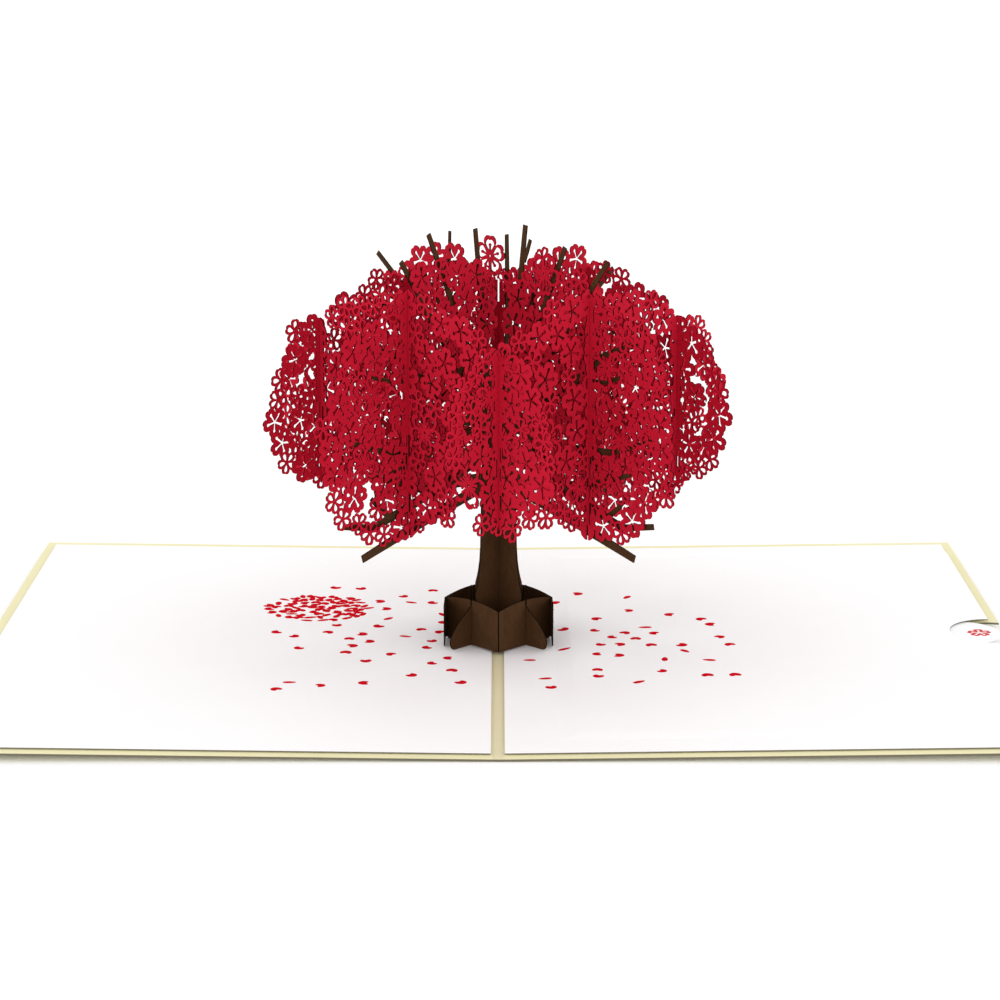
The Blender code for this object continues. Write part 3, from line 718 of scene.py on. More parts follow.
def make_sheet(name, node, shapes, size, place, thickness, finishes, rim, back=0, even=True):
    """Cuts a sheet, lays it in its place, merges its flat areas and gives it its thickness and cut edge.

    place maps the whole array of points. rim and back say how many finishes further on the cut edge's
    and the back's finish are. even keeps the thickness round a fold.
    """
    data = cut_paper(name, shapes, size)
    points = np.zeros(len(data.vertices) * 3)
    data.vertices.foreach_get("co", points)
    data.vertices.foreach_set("co", place(points.reshape(-1, 3)).ravel())
    mesh = bmesh.new()
    mesh.from_mesh(data)
    mesh.normal_update()
    bmesh.ops.dissolve_limit(
        mesh, angle_limit=FLAT_LIMIT, verts=mesh.verts[:], edges=mesh.edges[:], delimit={"MATERIAL"}
    )
    mesh.to_mesh(data)
    mesh.free()
    for finish in finishes:
        data.materials.append(finish)
    piece = bpy.data.objects.new(name, data)
    bpy.context.scene.collection.objects.link(piece)
    thick = piece.modifiers.new("thickness", "SOLIDIFY")
    thick.thickness = thickness
    thick.offset = 0
    thick.use_even_offset = even
    thick.material_offset = back
    thick.material_offset_rim = rim
    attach(piece, "root")
    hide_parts(node)
    return piece


def standing(along, offset):
    """Stands flat points upright: their x runs along the given direction and their y runs up."""
    turn = Matrix.Rotation(along, 4, "Z") @ Matrix.Rotation(math.radians(90), 4, "X")
    whole = np.array(turn @ Matrix.Translation((0, GROUND, offset)))

    def place(points):
        return points @ whole[:3, :3].T + whole[:3, 3]

    return place


def folded(corners):
    """Stands a flat strip on end along a line of plan corners.

    Each leg of the line takes the points whose x lies within its own length.
    """
    corners = np.array(corners, dtype=float)
    legs = np.diff(corners, axis=0)
    lengths = np.linalg.norm(legs, axis=1)
    starts = np.concatenate([[0], np.cumsum(lengths)[:-1]])

    def place(points):
        leg = np.clip(np.searchsorted(starts, points[:, 0]) - 1, 0, len(legs) - 1)
        away = (points[:, 0] - starts[leg]) / lengths[leg]
        spot = corners[leg] + legs[leg] * away[:, None]
        return np.column_stack([spot, points[:, 1] + GROUND])

    return place


def lying(card, level, rise=None):
    """Lays flat points on the two lifted pages, level above the cover's underside.

    A page is turned about its score by the lift. rise, if given, is a further height for each x and y.
    """
    half, lift = card.spine_width / 2, card.page_lift

    def place(points):
        x, y = points[:, 0], points[:, 1]
        height = level + (rise(x, y) if rise else np.zeros(len(x)))
        reach = np.abs(x) - half
        across = half + reach * math.cos(lift) - height * math.sin(lift)
        lifted = reach * math.sin(lift) + height * math.cos(lift)
        on_page = reach > 0
        x = np.where(on_page, np.copysign(across, x), x)
        return np.column_stack([x, y, np.where(on_page, lifted, height)])

    return place


# Cover, liners and note card

# Loose petals: darts thrown, their spread along the spine over that across it, the least distance between
# two in petal lengths, what stays clear beside the spine and round the ring, and the reach along the
# spine over that across it
SCATTER_DARTS = 4000
SCATTER_SPREAD = 0.85
SCATTER_PITCH = 1.5
SPINE_CLEAR = 0.006
RING_CLEAR = 0.017
SCATTER_DEPTH = 0.78

# Heap of petals: darts thrown, the least distance between two in petal lengths, and how far the loose
# petals stay off, in sizes of the heap
HEAP_DARTS = 400
HEAP_PITCH = 0.62
HEAP_CLEAR = 1.12

PETAL_KINDS = 3
PETAL_SIZES = (0.92, 1.08)

# Motif on the tab: its place, as a share of the tab's radius out from the tab's centre, and its turn
MOTIF_SETBACK = 0.45
MOTIF_TURN = 0.3


def liner_outline(card, clearance=0.0):
    """The right liner, from a clearance beside the spine's score out to the cream border.

    The border is wider at the back.
    """
    inner = card.spine_width / 2 + card.ply_gap + clearance
    half = card.page_height / 2 - card.liner_margin
    return rectangle(inner, -half, card.page_width - card.liner_margin, half - card.back_clearance)


def notch(card):
    """The thumb notch, as a cut."""
    return disc((card.page_width - card.notch_setback, 0), card.notch_radius), CUT


def petal_print(card, prints, side):
    """Printed petals on one page: a loose scatter round the tree and, on the left page, a heap.

    The scatter is a seeded spread whose petals keep apart. It thins out with the distance from the tree.
    """
    chance = np.random.default_rng(prints.seed + side)
    spots = []
    darts = chance.normal(0, prints.scatter_reach / 2, (SCATTER_DARTS, 2)) * (1.0, SCATTER_SPREAD)
    apart = prints.petal_length * SCATTER_PITCH
    across, along = prints.scatter_reach, prints.scatter_reach * SCATTER_DEPTH
    heap = np.array([-prints.heap_x, prints.heap_y])
    heap_size = np.array([prints.heap_half_width, prints.heap_half_depth])
    for x, y in darts:
        spot = np.array([side * (abs(x) + SPINE_CLEAR), y])
        in_ring = abs(spot[0]) + abs(spot[1]) < RING_CLEAR
        in_heap = side < 0 and np.hypot(*((spot - heap) / heap_size)) < HEAP_CLEAR
        too_far = abs(spot[0]) > across or abs(spot[1]) > along
        if in_ring or in_heap or too_far or len(spots) >= prints.scatter_count:
            continue
        if all(np.hypot(*(spot - other)) > apart for other in spots):
            spots.append(spot)
    if side < 0:
        turns = chance.uniform(0, TURN, HEAP_DARTS)
        reach = np.sqrt(chance.uniform(0, 1, HEAP_DARTS))
        pile = heap + np.stack([np.cos(turns), np.sin(turns)], axis=1) * reach[:, None] * heap_size
        apart = prints.petal_length * HEAP_PITCH
        taken = []
        for spot in pile:
            if all(np.hypot(*(spot - other)) > apart for other in taken):
                taken.append(spot)
        spots += taken[: prints.heap_count]
    shapes = []
    for spot in spots:
        kind, turn = int(chance.integers(0, PETAL_KINDS)), chance.uniform(0, TURN)
        size = prints.petal_length / 2 * chance.uniform(*PETAL_SIZES)
        shapes.append((printed_petal(spot, size, turn, kind), INK))
    return shapes


class POPUP_OT_cover(Operator):
    """Makes the cream cover: one sheet, scored twice at the spine, with the thumb notch"""

    bl_idname = "popup_card.cover"
    bl_label = "Cover"
    bl_options = {"REGISTER", "UNDO"}

    def execute(self, context):
        settings = context.scene.popup_card
        card, colours = settings.card, settings.colours
        half, score = card.page_height / 2, card.spine_width / 2
        shapes = [
            (rectangle(-card.page_width, -half, -score, half), PAPER),
            (rectangle(-score, -half, score, half), PAPER),
            (rectangle(score, -half, card.page_width, half), PAPER),
            notch(card),
        ]
        # Painted shade: the spine's tone over the cream's darkens the card between the scores
        crease = [s / c for s, c in zip(colours.spine, colours.cream)]
        cream = paper_finish("cream_card_stock", colours.cream, 0.035, 1300)
        # The cut edge's darkened cream is painted shade, for the shadow along the cover's front edge
        finishes = [spine_shade_finish(cream, crease, score), paper_finish("cream_rim_painted_shade", colours.cream_edge_shade)]
        make_sheet(
            "cover_card", "cover", shapes, card.page_width, lying(card, card.cover_thickness / 2),
            card.cover_thickness, finishes, 1,
        )
        return {"FINISHED"}


class POPUP_OT_liners(Operator):
    """Makes the two white liners with their printed petals; the right one is a pocket for the note card"""

    bl_idname = "popup_card.liners"
    bl_label = "Liners"
    bl_options = {"REGISTER", "UNDO"}

    def execute(self, context):
        settings = context.scene.popup_card
        card, colours, prints = settings.card, settings.colours, settings.prints
        white = paper_finish("white_liner_paper", colours.white, 0.012, 1500)
        ink = paper_finish("petal_ink", colours.ink, 0.08, 1800, 0.8, sheen=0.0)
        # The liners' darkened cut edge is painted shade, for the shadow line beside it
        edge = paper_finish("white_rim_painted_shade", colours.white_edge_shade, 0.03)
        finishes = [ink, white, white, edge]
        level = card.cover_thickness + card.ply_gap + card.liner_thickness / 2
        slope = card.pocket_slope
        inner, half = card.note_inner_edge - slope, card.note_height / 2 + slope
        pocket_rise = card.note_thickness + card.ply_gap
        beyond = card.page_width + OVERRUN

        def rise(x, y):
            inwards = np.minimum(x - (inner - slope), half + slope - np.abs(y))
            return pocket_rise * np.clip(inwards / slope, 0, 1)

        left = [(liner_outline(card, card.left_clearance) * (-1, 1), CARD)]
        left += petal_print(card, prints, -1)
        right = [
            (liner_outline(card), CARD),
            (rectangle(inner - slope, -half - slope, beyond, half + slope), CARD),
            (rectangle(inner, -half, beyond, half), CARD),
        ]
        right += petal_print(card, prints, 1)
        edge_of_page = card.page_width - card.liner_margin
        right.append((rectangle(edge_of_page, -card.page_height, beyond * 2, card.page_height), CUT))
        right.append(notch(card))
        for side, shapes, raised in (("left", left, None), ("right", right, rise)):
            make_sheet(
                f"{side}_liner_sheet", f"{side}_liner", shapes, card.page_width, lying(card, level, raised),
                card.liner_thickness, finishes, 2, back=1,
            )
        return {"FINISHED"}


class POPUP_OT_note_card(Operator):
    """Makes the loose note card, whose round tab shows in the thumb notch with a small printed blossom"""

    bl_idname = "popup_card.note_card"
    bl_label = "Note card"
    bl_options = {"REGISTER", "UNDO"}

    def execute(self, context):
        settings = context.scene.popup_card
        card, colours = settings.card, settings.colours
        half = card.note_height / 2
        tab = (card.page_width - card.tab_setback, 0)
        motif = (tab[0] + card.tab_radius * MOTIF_SETBACK, 0)
        shapes = [
            (rectangle(card.note_inner_edge, -half, card.note_outer_edge, half), CARD),
            (disc(tab, card.tab_radius), CARD),
            (placed(BLOSSOM, motif, card.tab_motif_radius, MOTIF_TURN), INK),
            (placed(STAR, motif, card.tab_motif_radius, MOTIF_TURN), CARD),
        ]
        white = paper_finish("note_card_paper", colours.white, 0.012, 1500)
        ink = paper_finish("tab_ink", colours.ink, 0.08, 1800, 0.6)
        edge = paper_finish("note_cut_edge", [c * 0.9 for c in colours.white], 0.03)
        level = card.cover_thickness + card.ply_gap + card.note_thickness / 2
        make_sheet(
            "note_card_sheet", "note_card", shapes, card.page_width, lying(card, level),
            card.note_thickness, [ink, white, white, edge], 2, back=1,
        )
        return {"FINISHED"}


# Ring and trunk


def arched_face(tree, start, face, steps=24):
    """One wall of the ring, drawn flat: its top rises by 4 arch s (1 - s) along its length."""
    s = np.linspace(1, 0, steps)
    top = np.stack([start + face * s, tree.ring_height + 4 * tree.ring_arch * s * (1 - s)], axis=1)
    return np.vstack([[(start, 0), (start + face, 0)], top]), PAPER


def ring_slots(tree, face, starts):
    """Slots from the top of each wall of the ring, down to where the root's own slot ends."""
    half = tree.slot / 2
    middles = [start + face / 2 for start in starts]
    top = tree.ring_height + OVERRUN
    return [(rectangle(m - half, tree.ring_slot_depth, m + half, top), CUT) for m in middles]


class POPUP_OT_ring(Operator):
    """Makes the square ring round the trunk from two folded brown strips"""

    bl_idname = "popup_card.ring"
    bl_label = "Ring"
    bl_options = {"REGISTER", "UNDO"}

    def execute(self, context):
        settings = context.scene.popup_card
        tree = settings.tree
        side, flap, high = tree.ring_half_diagonal, tree.ring_flap, tree.ring_height
        face = side * math.sqrt(2)
        trim = rectangle(-OVERRUN, -OVERRUN, tree.ring_joint_setback, high + OVERRUN)
        far_trim = trim * (-1, 1) + (2 * face, 0)
        front = [arched_face(tree, 0, face), arched_face(tree, face, face), (trim, CUT), (far_trim, CUT)]
        front += ring_slots(tree, face, (0, face))
        crease = tree.ring_crease / 2
        front.append((rectangle(face - crease, 0, face + crease, high), CREASE))
        far = flap + 2 * face
        back = [
            (rectangle(0, 0, flap, high), PAPER),
            arched_face(tree, flap, face),
            arched_face(tree, flap + face, face),
            (rectangle(far, 0, far + flap, high), PAPER),
        ]
        back += ring_slots(tree, face, (flap, flap + face))
        front_path = [(-side, 0), (0, -side), (side, 0)]
        lean = side + tree.ring_flap_lean
        back_path = [(-lean, -flap), (-side, 0), (0, side), (side, 0), (lean, -flap)]
        for which, shapes, path in (("front", front, front_path), ("back", back, back_path)):
            make_sheet(
                f"ring_{which}_strip", f"base_wall_{which}", shapes, side, folded(path), tree.sheet,
                brown_finishes(settings.colours), 1,
            )
        return {"FINISHED"}


def scaled_boughs(tree, quarter):
    """The side boughs, forks and twigs of one quarter, each as its line of points and its widths."""
    boughs = []
    for shares in SIDE_BOUGH_SHARES + FORK_SHARES + TWIG_SHARES[quarter]:
        line = [(s * tree.wing_length, z * tree.height) for s, z, _ in shares]
        boughs.append((line, [width * tree.bough_width for _, _, width in shares]))
    return boughs


def trunk_outline(tree):
    """The trunk and its rounded roots, whose tips stand outside the ring."""
    ring_face = tree.ring_half_diagonal / math.sqrt(2)
    root = smooth_loop([(r * tree.root_length, h * tree.ring_height) for r, h in reversed(ROOT_SHARES)])
    root = root[CURVE_STEPS : -CURVE_STEPS + 1] + (ring_face, 0)
    half = np.vstack([root, [(w * tree.trunk_half_width, z * tree.height) for w, z in TRUNK_SHARES]])
    half[:, 1] = np.maximum(half[:, 1], 0)
    return np.vstack([half, half[::-1] * (-1, 1)])


class POPUP_OT_trunk(Operator):
    """Makes the two brown sheets with the trunk, the roots, the boughs and the twigs"""

    bl_idname = "popup_card.trunk"
    bl_label = "Trunk sheets"
    bl_options = {"REGISTER", "UNDO"}

    def execute(self, context):
        settings = context.scene.popup_card
        self.make(settings, "a", ("back_right", "front_left"), ALONG_A, True)
        self.make(settings, "b", ("front_right", "back_left"), ALONG_B, False)
        return {"FINISHED"}

    def make(self, settings, letter, quarters, along, slot_from_top):
        """Makes one sheet, whose boughs reach into two quarters of the tree."""
        tree = settings.tree
        shapes = [(trunk_outline(tree), PAPER)]
        for quarter, side in zip(quarters, (1, -1)):
            for line, widths in scaled_boughs(tree, quarter):
                shapes.append((ribbon([(side * x, y) for x, y in line], widths), PAPER))
        half = tree.slot / 2
        if slot_from_top:
            shapes.append((rectangle(-half, tree.trunk_slot_height, half, tree.height + OVERRUN), CUT))
        else:
            shapes.append((rectangle(-half, -OVERRUN, half, tree.trunk_slot_height), CUT))
        ring_face = tree.ring_half_diagonal / math.sqrt(2)
        for middle in (-ring_face, ring_face):
            shapes.append((rectangle(middle - half, -OVERRUN, middle + half, tree.ring_slot_depth), CUT))
        # The root that meets the ring's back faces is whole above its slot
        back = ring_face if quarters[0].startswith("back") else -ring_face
        top = tree.ring_height + tree.ring_arch
        shapes.append((rectangle(back - tree.slot, tree.ring_slot_depth, back + tree.slot, top), PAPER))
        make_sheet(
            f"trunk_{letter}_cut_sheet", f"trunk_sheet_{letter}", shapes, tree.height, standing(along, 0),
            tree.sheet, brown_finishes(settings.colours), 1, even=False,
        )


# Red lace

# Rim: the most blossoms, the shares of the three kinds, and how much of the way round they fill
RIM_MOST = 120
RIM_KIND_SHARES = (0.58, 0.38, 0.04)
RIM_FILL = 0.985

# Field: points of its outline, darts thrown for each kind of blossom, the area of field for each large
# and each star-cut one, and the most small ones
FIELD_STATIONS = 80
GREAT_DARTS, STAR_DARTS, SMALL_DARTS = 300, 2500, 5000
GREAT_AREA, STAR_AREA = 4.6e-4, 1.0e-4
SMALL_MOST = 400

# Shares of a blossom's radius: the disc that joins it to its neighbours, the part that stays free of
# dots, and how near to a crown blossom it may lie, with the crown's own share first
JOIN_SHARE = 0.70
WHOLE_SHARE = 0.80
CROWN_SHARES = (0.8, 0.3)

# Holes: darts thrown for the dots, and the least and greatest size of a hole over its named one
DOT_DARTS = 3000
HOLE_SIZES = (0.8, 1.3)

# Seams, in shares of the band: the pitch, wander and size of the discs in it, and the dots' distance
# from its middle; and in shares of their pitch, how far the dots wander
BAND_PITCH = 0.45
BAND_WANDER = 0.12
BAND_SIZES = (0.75, 1.15)
SEAM_DOT_SHARE = 0.36
SEAM_DOT_WANDER = 0.3

# Dashes: the share of the seam's height that they fill, their distance from its middle as a share of the
# rib, and their least and greatest lengths and distances as shares of the named length
DASH_HEIGHT = 0.4
DASH_ASIDE = 0.34
DASH_LENGTHS = (0.4, 1.3)
DASH_GAPS = (0.3, 0.9)


def keep_apart(spots, looks, placed_rows, closeness, most):
    """The first spots, up to most, that lie clear of those placed and of each other.

    looks holds the radius and the kind of the blossom at each spot. Two are clear of each other if the
    distance between them is more than closeness times the sum of their radii.
    """
    for (x, y), (radius, kind) in zip(spots, looks):
        if most <= 0:
            break
        rows = np.array(placed_rows)
        gap = np.hypot(rows[:, 0] - x, rows[:, 1] - y) - closeness * (rows[:, 2] + radius)
        if gap.min() > 0:
            placed_rows.append((x, y, radius, kind))
            most -= 1
    return placed_rows


def rim_blossoms(loop, lace, chance):
    """Blossoms in a row just inside the silhouette: kinds at random, each as far on as both radii ask."""
    kinds = chance.choice(len(RIM_KIND_SHARES), RIM_MOST, p=RIM_KIND_SHARES)
    radii = np.array([lace.small_radius, lace.star_radius, lace.great_radius])[kinds]
    radii = radii * chance.uniform(1 - lace.radius_spread, 1 + lace.radius_spread, len(radii))
    steps = lace.rim_closeness * (radii + np.roll(radii, -1))
    whole = np.linalg.norm(loop - np.roll(loop, -1, axis=0), axis=1).sum()
    travelled = np.concatenate([[0], np.cumsum(steps)])
    count = int(np.searchsorted(travelled, whole * RIM_FILL))
    stations = travelled[:count] / travelled[count]
    spots, outward = stations_on(loop, stations)
    wander = chance.uniform(-lace.rim_wander, lace.rim_wander / 2, count)
    spots = spots - outward * (radii[:count] - wander)[:, None]
    return [(x, y, r, k) for (x, y), r, k in zip(spots, radii[:count], kinds[:count])]


def field_blossoms(rows, field, lace, chance):
    """Fills the field with blossoms by seeded darts, the large ones first."""
    low, high = field.min(axis=0), field.max(axis=0)
    area = abs(doubled_area(field)) / 2
    plans = (
        (2, lace.great_radius, GREAT_DARTS, round(area / GREAT_AREA), lace.great_closeness),
        (1, lace.star_radius, STAR_DARTS, round(area / STAR_AREA), lace.star_closeness),
        (0, lace.small_radius, SMALL_DARTS, SMALL_MOST, lace.small_closeness),
    )
    for kind, radius, darts, most, closeness in plans:
        spots = chance.uniform(low, high, (darts, 2))
        inside = depth_inside(spots, field) > 0
        radii = radius * chance.uniform(1 - lace.radius_spread, 1 + lace.radius_spread, darts)
        looks = np.column_stack([radii, np.full(darts, kind)])
        rows = keep_apart(spots[inside], looks[inside], rows, closeness, most)
    return rows


def dots(rows, field, lace, chance):
    """Small round holes where there is paper between the blossoms, a dot pitch apart."""
    low, high = field.min(axis=0), field.max(axis=0)
    spots = chance.uniform(low, high, (DOT_DARTS, 2))
    spots = spots[depth_inside(spots, field) > 0]
    blossoms = np.array(rows)
    away = np.hypot(spots[:, None, 0] - blossoms[None, :, 0], spots[:, None, 1] - blossoms[None, :, 1])
    spots = spots[(away - WHOLE_SHARE * blossoms[None, :, 2]).min(axis=1) > 0]
    shapes, taken = [], []
    for spot in spots:
        if all(math.dist(spot, other) > lace.dot_pitch for other in taken):
            taken.append(spot)
            shapes.append((disc(spot, lace.dot_radius * chance.uniform(*HOLE_SIZES), HOLE_STEPS), CUT))
    return shapes


def dashes(middle, low, high, lace, chance):
    """Slits beside a seam, from near its lower end up to a share of its height."""
    shapes, half = [], lace.dash_width / 2
    height = low + lace.dash_length * DASH_LENGTHS[0]
    while height < low + (high - low) * DASH_HEIGHT:
        tall = lace.dash_length * chance.uniform(*DASH_LENGTHS)
        aside = middle + lace.seam_rib * DASH_ASIDE * chance.choice((-1, 1))
        shapes.append((rectangle(aside - half, height, aside + half, height + tall), CUT))
        height += tall + lace.dash_length * chance.uniform(*DASH_GAPS)
    return shapes


def lace_shapes(silhouette, seams, seed, lace, crowns=()):
    """Shapes of a red sheet, from its silhouette: discs that join the blossoms, the blossoms, the seams.

    crowns are large blossoms that stand above the silhouette, each as its middle and its radius.
    """
    chance = np.random.default_rng(seed)
    loop = smooth_loop(silhouette)
    rows = rim_blossoms(loop, lace, chance)
    spots, outward = stations_on(loop, np.linspace(0, 1, FIELD_STATIONS, endpoint=False))
    field = spots - outward * lace.field_inset
    of_crown, of_blossom = CROWN_SHARES
    for middle, radius in crowns:
        clear = radius * of_crown
        rows = [row for row in rows if math.dist(row[:2], middle) > clear + row[2] * of_blossom]
    rows = field_blossoms(rows, field, lace, chance)
    spans = []
    for middle in seams:
        near = loop[np.abs(loop[:, 0] - middle) < lace.seam_band, 1]
        upper, lower = near[near > loop[:, 1].mean()], near[near <= loop[:, 1].mean()]
        spans.append((middle, lower.max() + lace.small_radius, upper.min() - lace.small_radius))
    shapes = [(disc((x, y), radius * JOIN_SHARE, DISC_STEPS), PAPER) for x, y, radius, _ in rows]
    for middle, low, high in spans:
        for height in np.arange(low, high, lace.seam_band * BAND_PITCH):
            aside = middle + chance.uniform(-BAND_WANDER, BAND_WANDER) * lace.seam_band
            size = lace.seam_band / 2 * chance.uniform(*BAND_SIZES)
            shapes.append((disc((aside, height), size, DISC_STEPS), PAPER))
    for k in chance.permutation(len(rows)):
        x, y, radius, kind = rows[k]
        shapes += BLOSSOM_KINDS[int(kind)]((x, y), radius, chance.uniform(0, TURN))
    for middle, radius in crowns:
        shapes += great_blossom(middle, radius, TURN / 4, CROWN_STAMEN_LEANS)
    shapes += dots(rows, field, lace, chance)
    half, pitch = lace.seam_rib / 2, lace.dot_pitch
    for middle, low, high in spans:
        shapes.append((rectangle(middle - half, low, middle + half, high), PAPER))
        heights = np.arange(low + pitch, high - pitch, pitch)
        heights = heights + chance.uniform(-SEAM_DOT_WANDER, SEAM_DOT_WANDER, len(heights)) * pitch
        for k, height in enumerate(heights):
            aside = middle + lace.seam_band * SEAM_DOT_SHARE * (1 if k % 2 else -1)
            size = lace.dot_radius * chance.uniform(*HOLE_SIZES)
            shapes.append((disc((aside, height), size, HOLE_STEPS), CUT))
        shapes += dashes(middle, low, high, lace, chance)
    return shapes


def seam_slot(tree, middle, width, from_top):
    """A slot from the top or the bottom of a sheet to the height where it interlocks with another."""
    left, right = middle - width / 2, middle + width / 2
    if from_top:
        return rectangle(left, tree.interlock_height, right, tree.height), CUT
    return rectangle(left, -OVERRUN, right, tree.interlock_height), CUT


def bough_windows(tree, quarter):
    """Windows in the middle of a wall, one for each side bough that passes through below the interlock.

    A window stands where the bough meets the wall. It is as tall as the bough and a third of a slot more on
    each side.
    """
    windows = []
    half = tree.slot / 2
    for line, widths in scaled_boughs(tree, quarter):
        reach = [x for x, _ in line]
        if not reach[0] < tree.lattice_offset < reach[-1]:
            continue
        height = float(np.interp(tree.lattice_offset, reach, [y for _, y in line]))
        tall = float(np.interp(tree.lattice_offset, reach, widths)) / 2 + tree.slot / 3
        if height - tall < tree.interlock_height:
            windows.append((rectangle(-half, height - tall, half, height + tall), CUT))
    return windows


class POPUP_OT_walls(Operator):
    """Makes the four red lace walls, which cross each other beyond the corners of a square"""

    bl_idname = "popup_card.walls"
    bl_label = "Lace walls"
    bl_options = {"REGISTER", "UNDO"}

    def execute(self, context):
        settings = context.scene.popup_card
        tree, lace = settings.tree, settings.lace
        offset = tree.lattice_offset
        crown = (-offset - lace.crown_setback, lace.crown_height)
        foot = (crown[0] - lace.crown_lean, crown[1] - lace.crown_drop)
        crowns = ((foot, lace.foot_radius), (crown, lace.crown_radius))
        walls = (
            ("front_right", ALONG_A, offset, ()),
            ("back_left", ALONG_A, -offset, ()),
            ("front_left", ALONG_B, offset, ()),
            ("back_right", ALONG_B, -offset, crowns),
        )
        shares = WALL_TOP_SHARES + WALL_BOTTOM_SHARES
        half = [(x * tree.wall_half_length, z * tree.height) for x, z in shares]
        silhouette = np.array(half + [(-x, y) for x, y in reversed(half) if x > 0])
        for number, (quarter, along, away, crowned) in enumerate(walls):
            corner = math.copysign(offset, math.sin(along))
            outline = silhouette.copy()
            if quarter.startswith("back"):
                near = np.abs(outline[:, 0] - corner) < lace.seam_rib
                outline[near & (outline[:, 1] > tree.interlock_height), 1] += lace.back_corner_rise
            shapes = lace_shapes(outline, (-offset, offset, 0), lace.seed * 10 + number, lace, crowned)
            for end in (-offset, offset):
                shapes.append(seam_slot(tree, end, tree.slot, along == ALONG_A))
            if quarter.startswith("back"):
                half_slit, mouth = lace.slit_width / 2, lace.crown_height - lace.crown_radius
                low, high = mouth - lace.slit_length, mouth if crowned else mouth + OVERRUN
                shapes.append((rectangle(corner - half_slit, low, corner + half_slit, high), CUT))
            pair_side = -1 if along == ALONG_A else 1
            middle, width = pair_side * tree.wing_setoff / 2, tree.slot + tree.wing_setoff
            shapes.append(seam_slot(tree, middle, width, True))
            shapes += bough_windows(tree, quarter)
            make_sheet(
                f"lace_wall_{quarter}", f"canopy_wall_{quarter}", shapes, tree.height,
                standing(along, away), tree.sheet, red_finishes(settings.colours), 1,
                even=False,
            )
        return {"FINISHED"}


class POPUP_OT_wings(Operator):
    """Makes the four red lace wings, each beside one half of a trunk sheet"""

    bl_idname = "popup_card.wings"
    bl_label = "Lace wings"
    bl_options = {"REGISTER", "UNDO"}

    def execute(self, context):
        settings = context.scene.popup_card
        tree, lace = settings.tree, settings.lace
        wings = (
            ("back_right", ALONG_A, 1),
            ("front_left", ALONG_A, -1),
            ("front_right", ALONG_B, 1),
            ("back_left", ALONG_B, -1),
        )
        for number, (quarter, along, side) in enumerate(wings):
            silhouette = [(side * s * tree.wing_length, z * tree.height) for s, z in WING_SHARES]
            middle = side * tree.lattice_offset
            shapes = lace_shapes(silhouette, (middle,), lace.seed * 10 + 5 + number, lace)
            shapes.append(seam_slot(tree, middle, tree.slot, False))
            make_sheet(
                f"lace_wing_{quarter}", f"canopy_wing_{quarter}", shapes, tree.height,
                standing(along, tree.wing_setoff), tree.sheet, red_finishes(settings.colours), 1,
                even=False,
            )
        return {"FINISHED"}


# Stage

FLOOR_GAP = 0.0001


def floor_finish(shade, glow):
    """A white floor that keeps the shadow, and glows a little for the camera, so that it looks white."""
    material = bpy.data.materials.new("plain_floor")
    material.use_nodes = True
    nodes, links = material.node_tree.nodes, material.node_tree.links
    nodes.clear()
    out = add_node(nodes, "ShaderNodeOutputMaterial")
    plain = add_node(nodes, "ShaderNodeBsdfDiffuse", {"Color": (shade, shade, shade, 1)})
    light = add_node(nodes, "ShaderNodeEmission", {"Strength": glow})
    both = add_node(nodes, "ShaderNodeAddShader")
    seen = add_node(nodes, "ShaderNodeLightPath")
    pick = add_node(nodes, "ShaderNodeMixShader")
    links.new(plain.outputs["BSDF"], both.inputs[0])
    links.new(light.outputs["Emission"], both.inputs[1])
    links.new(seen.outputs["Is Camera Ray"], pick.inputs["Fac"])
    links.new(plain.outputs["BSDF"], pick.inputs[1])
    links.new(both.outputs["Shader"], pick.inputs[2])
    links.new(pick.outputs["Shader"], out.inputs["Surface"])
    return material


def surround_light(scene, low_light, high_light):
    """A soft light all round that is strongest near the horizon, so that it reaches under the tree.

    Its strength falls smoothly from low_light to high_light as the direction's height goes from 0.30 to
    0.75 of its length. The camera sees it as plain white.
    """
    world = bpy.data.worlds.new("soft_surround")
    scene.world = world
    world.use_nodes = True
    nodes, links = world.node_tree.nodes, world.node_tree.links
    nodes.clear()
    out = add_node(nodes, "ShaderNodeOutputWorld")
    place = add_node(nodes, "ShaderNodeTexCoord")
    parts = add_node(nodes, "ShaderNodeSeparateXYZ")
    fall = add_node(
        nodes, "ShaderNodeMapRange",
        {"From Min": 0.30, "From Max": 0.75, "To Min": low_light, "To Max": high_light},
    )
    fall.interpolation_type = "SMOOTHSTEP"
    even = add_node(nodes, "ShaderNodeBackground", {"Color": (1, 1, 1, 1)})
    white = add_node(nodes, "ShaderNodeBackground", {"Color": (1, 1, 1, 1), "Strength": 1.0})
    seen = add_node(nodes, "ShaderNodeLightPath")
    pick = add_node(nodes, "ShaderNodeMixShader")
    links.new(place.outputs["Generated"], parts.inputs["Vector"])
    links.new(parts.outputs["Z"], fall.inputs["Value"])
    links.new(fall.outputs["Result"], even.inputs["Strength"])
    links.new(seen.outputs["Is Camera Ray"], pick.inputs["Fac"])
    links.new(even.outputs["Background"], pick.inputs[1])
    links.new(white.outputs["Background"], pick.inputs[2])
    links.new(pick.outputs["Shader"], out.inputs["Surface"])


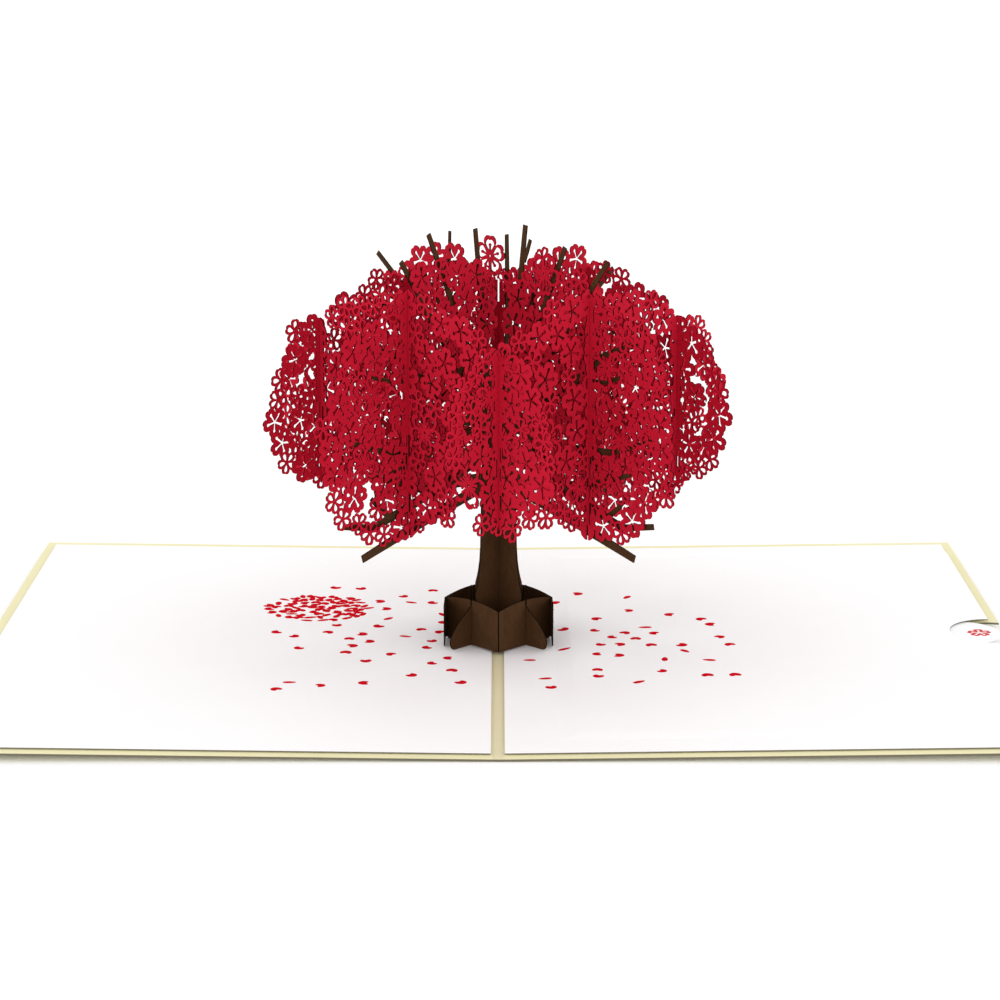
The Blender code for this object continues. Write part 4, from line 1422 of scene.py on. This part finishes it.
class POPUP_OT_stage(Operator):
    """Sets up the floor, the soft light all round and the camera"""

    bl_idname = "popup_card.stage"
    bl_label = "Stage"
    bl_options = {"REGISTER", "UNDO"}

    def execute(self, context):
        scene = context.scene
        stage = scene.popup_card.stage
        scene.view_settings.view_transform = "Standard"
        half = stage.floor_half
        data = bpy.data.meshes.new("floor")
        low = COVER_LOW.z - FLOOR_GAP
        corners = [(x, y, low) for x, y in rectangle(-half, -half, half, half)]
        data.from_pydata(corners, [], [(0, 1, 2, 3)])
        data.materials.append(floor_finish(stage.floor_shade, stage.floor_glow))
        floor = bpy.data.objects.new("floor", data)
        scene.collection.objects.link(floor)
        surround_light(scene, stage.low_light, stage.high_light)

        camera_data = bpy.data.cameras.new("camera")
        camera_data.lens = stage.camera_lens
        camera_data.shift_x = stage.camera_shift
        camera_data.clip_start = 0.01
        camera_data.clip_end = 20
        camera = bpy.data.objects.new("camera", camera_data)
        camera.location = (0, -stage.camera_distance, stage.camera_height)
        camera.rotation_euler = (math.radians(90) - stage.camera_pitch, 0, 0)
        scene.collection.objects.link(camera)
        scene.camera = camera
        return {"FINISHED"}


class VIEW3D_PT_popup_card(Panel):
    """Lists the card's pieces and settings in the sidebar"""

    bl_label = "Pop-up card"
    bl_idname = "VIEW3D_PT_popup_card"
    bl_space_type = "VIEW_3D"
    bl_region_type = "UI"
    bl_category = "Pop-up card"

    def draw(self, context):
        settings = context.scene.popup_card
        for step in STEPS:
            self.layout.operator(step.bl_idname)
        for title, group in (
            ("Card", settings.card), ("Tree", settings.tree), ("Lace", settings.lace),
            ("Print", settings.prints), ("Colours", settings.colours), ("Stage", settings.stage),
        ):
            box = self.layout.box()
            box.label(text=title)
            for name in group.__annotations__:
                box.prop(group, name)


STEPS = (
    POPUP_OT_cover, POPUP_OT_liners, POPUP_OT_note_card, POPUP_OT_ring, POPUP_OT_trunk, POPUP_OT_walls,
    POPUP_OT_wings, POPUP_OT_stage,
)
GROUPS = (CardSizes, TreeSizes, LaceStyle, PrintStyle, PaperColours, StageSettings, PopUpCard)


def register():
    for item in (*GROUPS, *STEPS, VIEW3D_PT_popup_card):
        bpy.utils.register_class(item)
    bpy.types.Scene.popup_card = PointerProperty(type=PopUpCard)


def unregister():
    del bpy.types.Scene.popup_card
    for item in (VIEW3D_PT_popup_card, *reversed(STEPS), *reversed(GROUPS)):
        bpy.utils.unregister_class(item)


def main():
    """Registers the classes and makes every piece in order."""
    register()
    bpy.ops.popup_card.cover()
    bpy.ops.popup_card.liners()
    bpy.ops.popup_card.note_card()
    bpy.ops.popup_card.ring()
    bpy.ops.popup_card.trunk()
    bpy.ops.popup_card.walls()
    bpy.ops.popup_card.wings()
    bpy.ops.popup_card.stage()


if __name__ == "__main__":
    main()
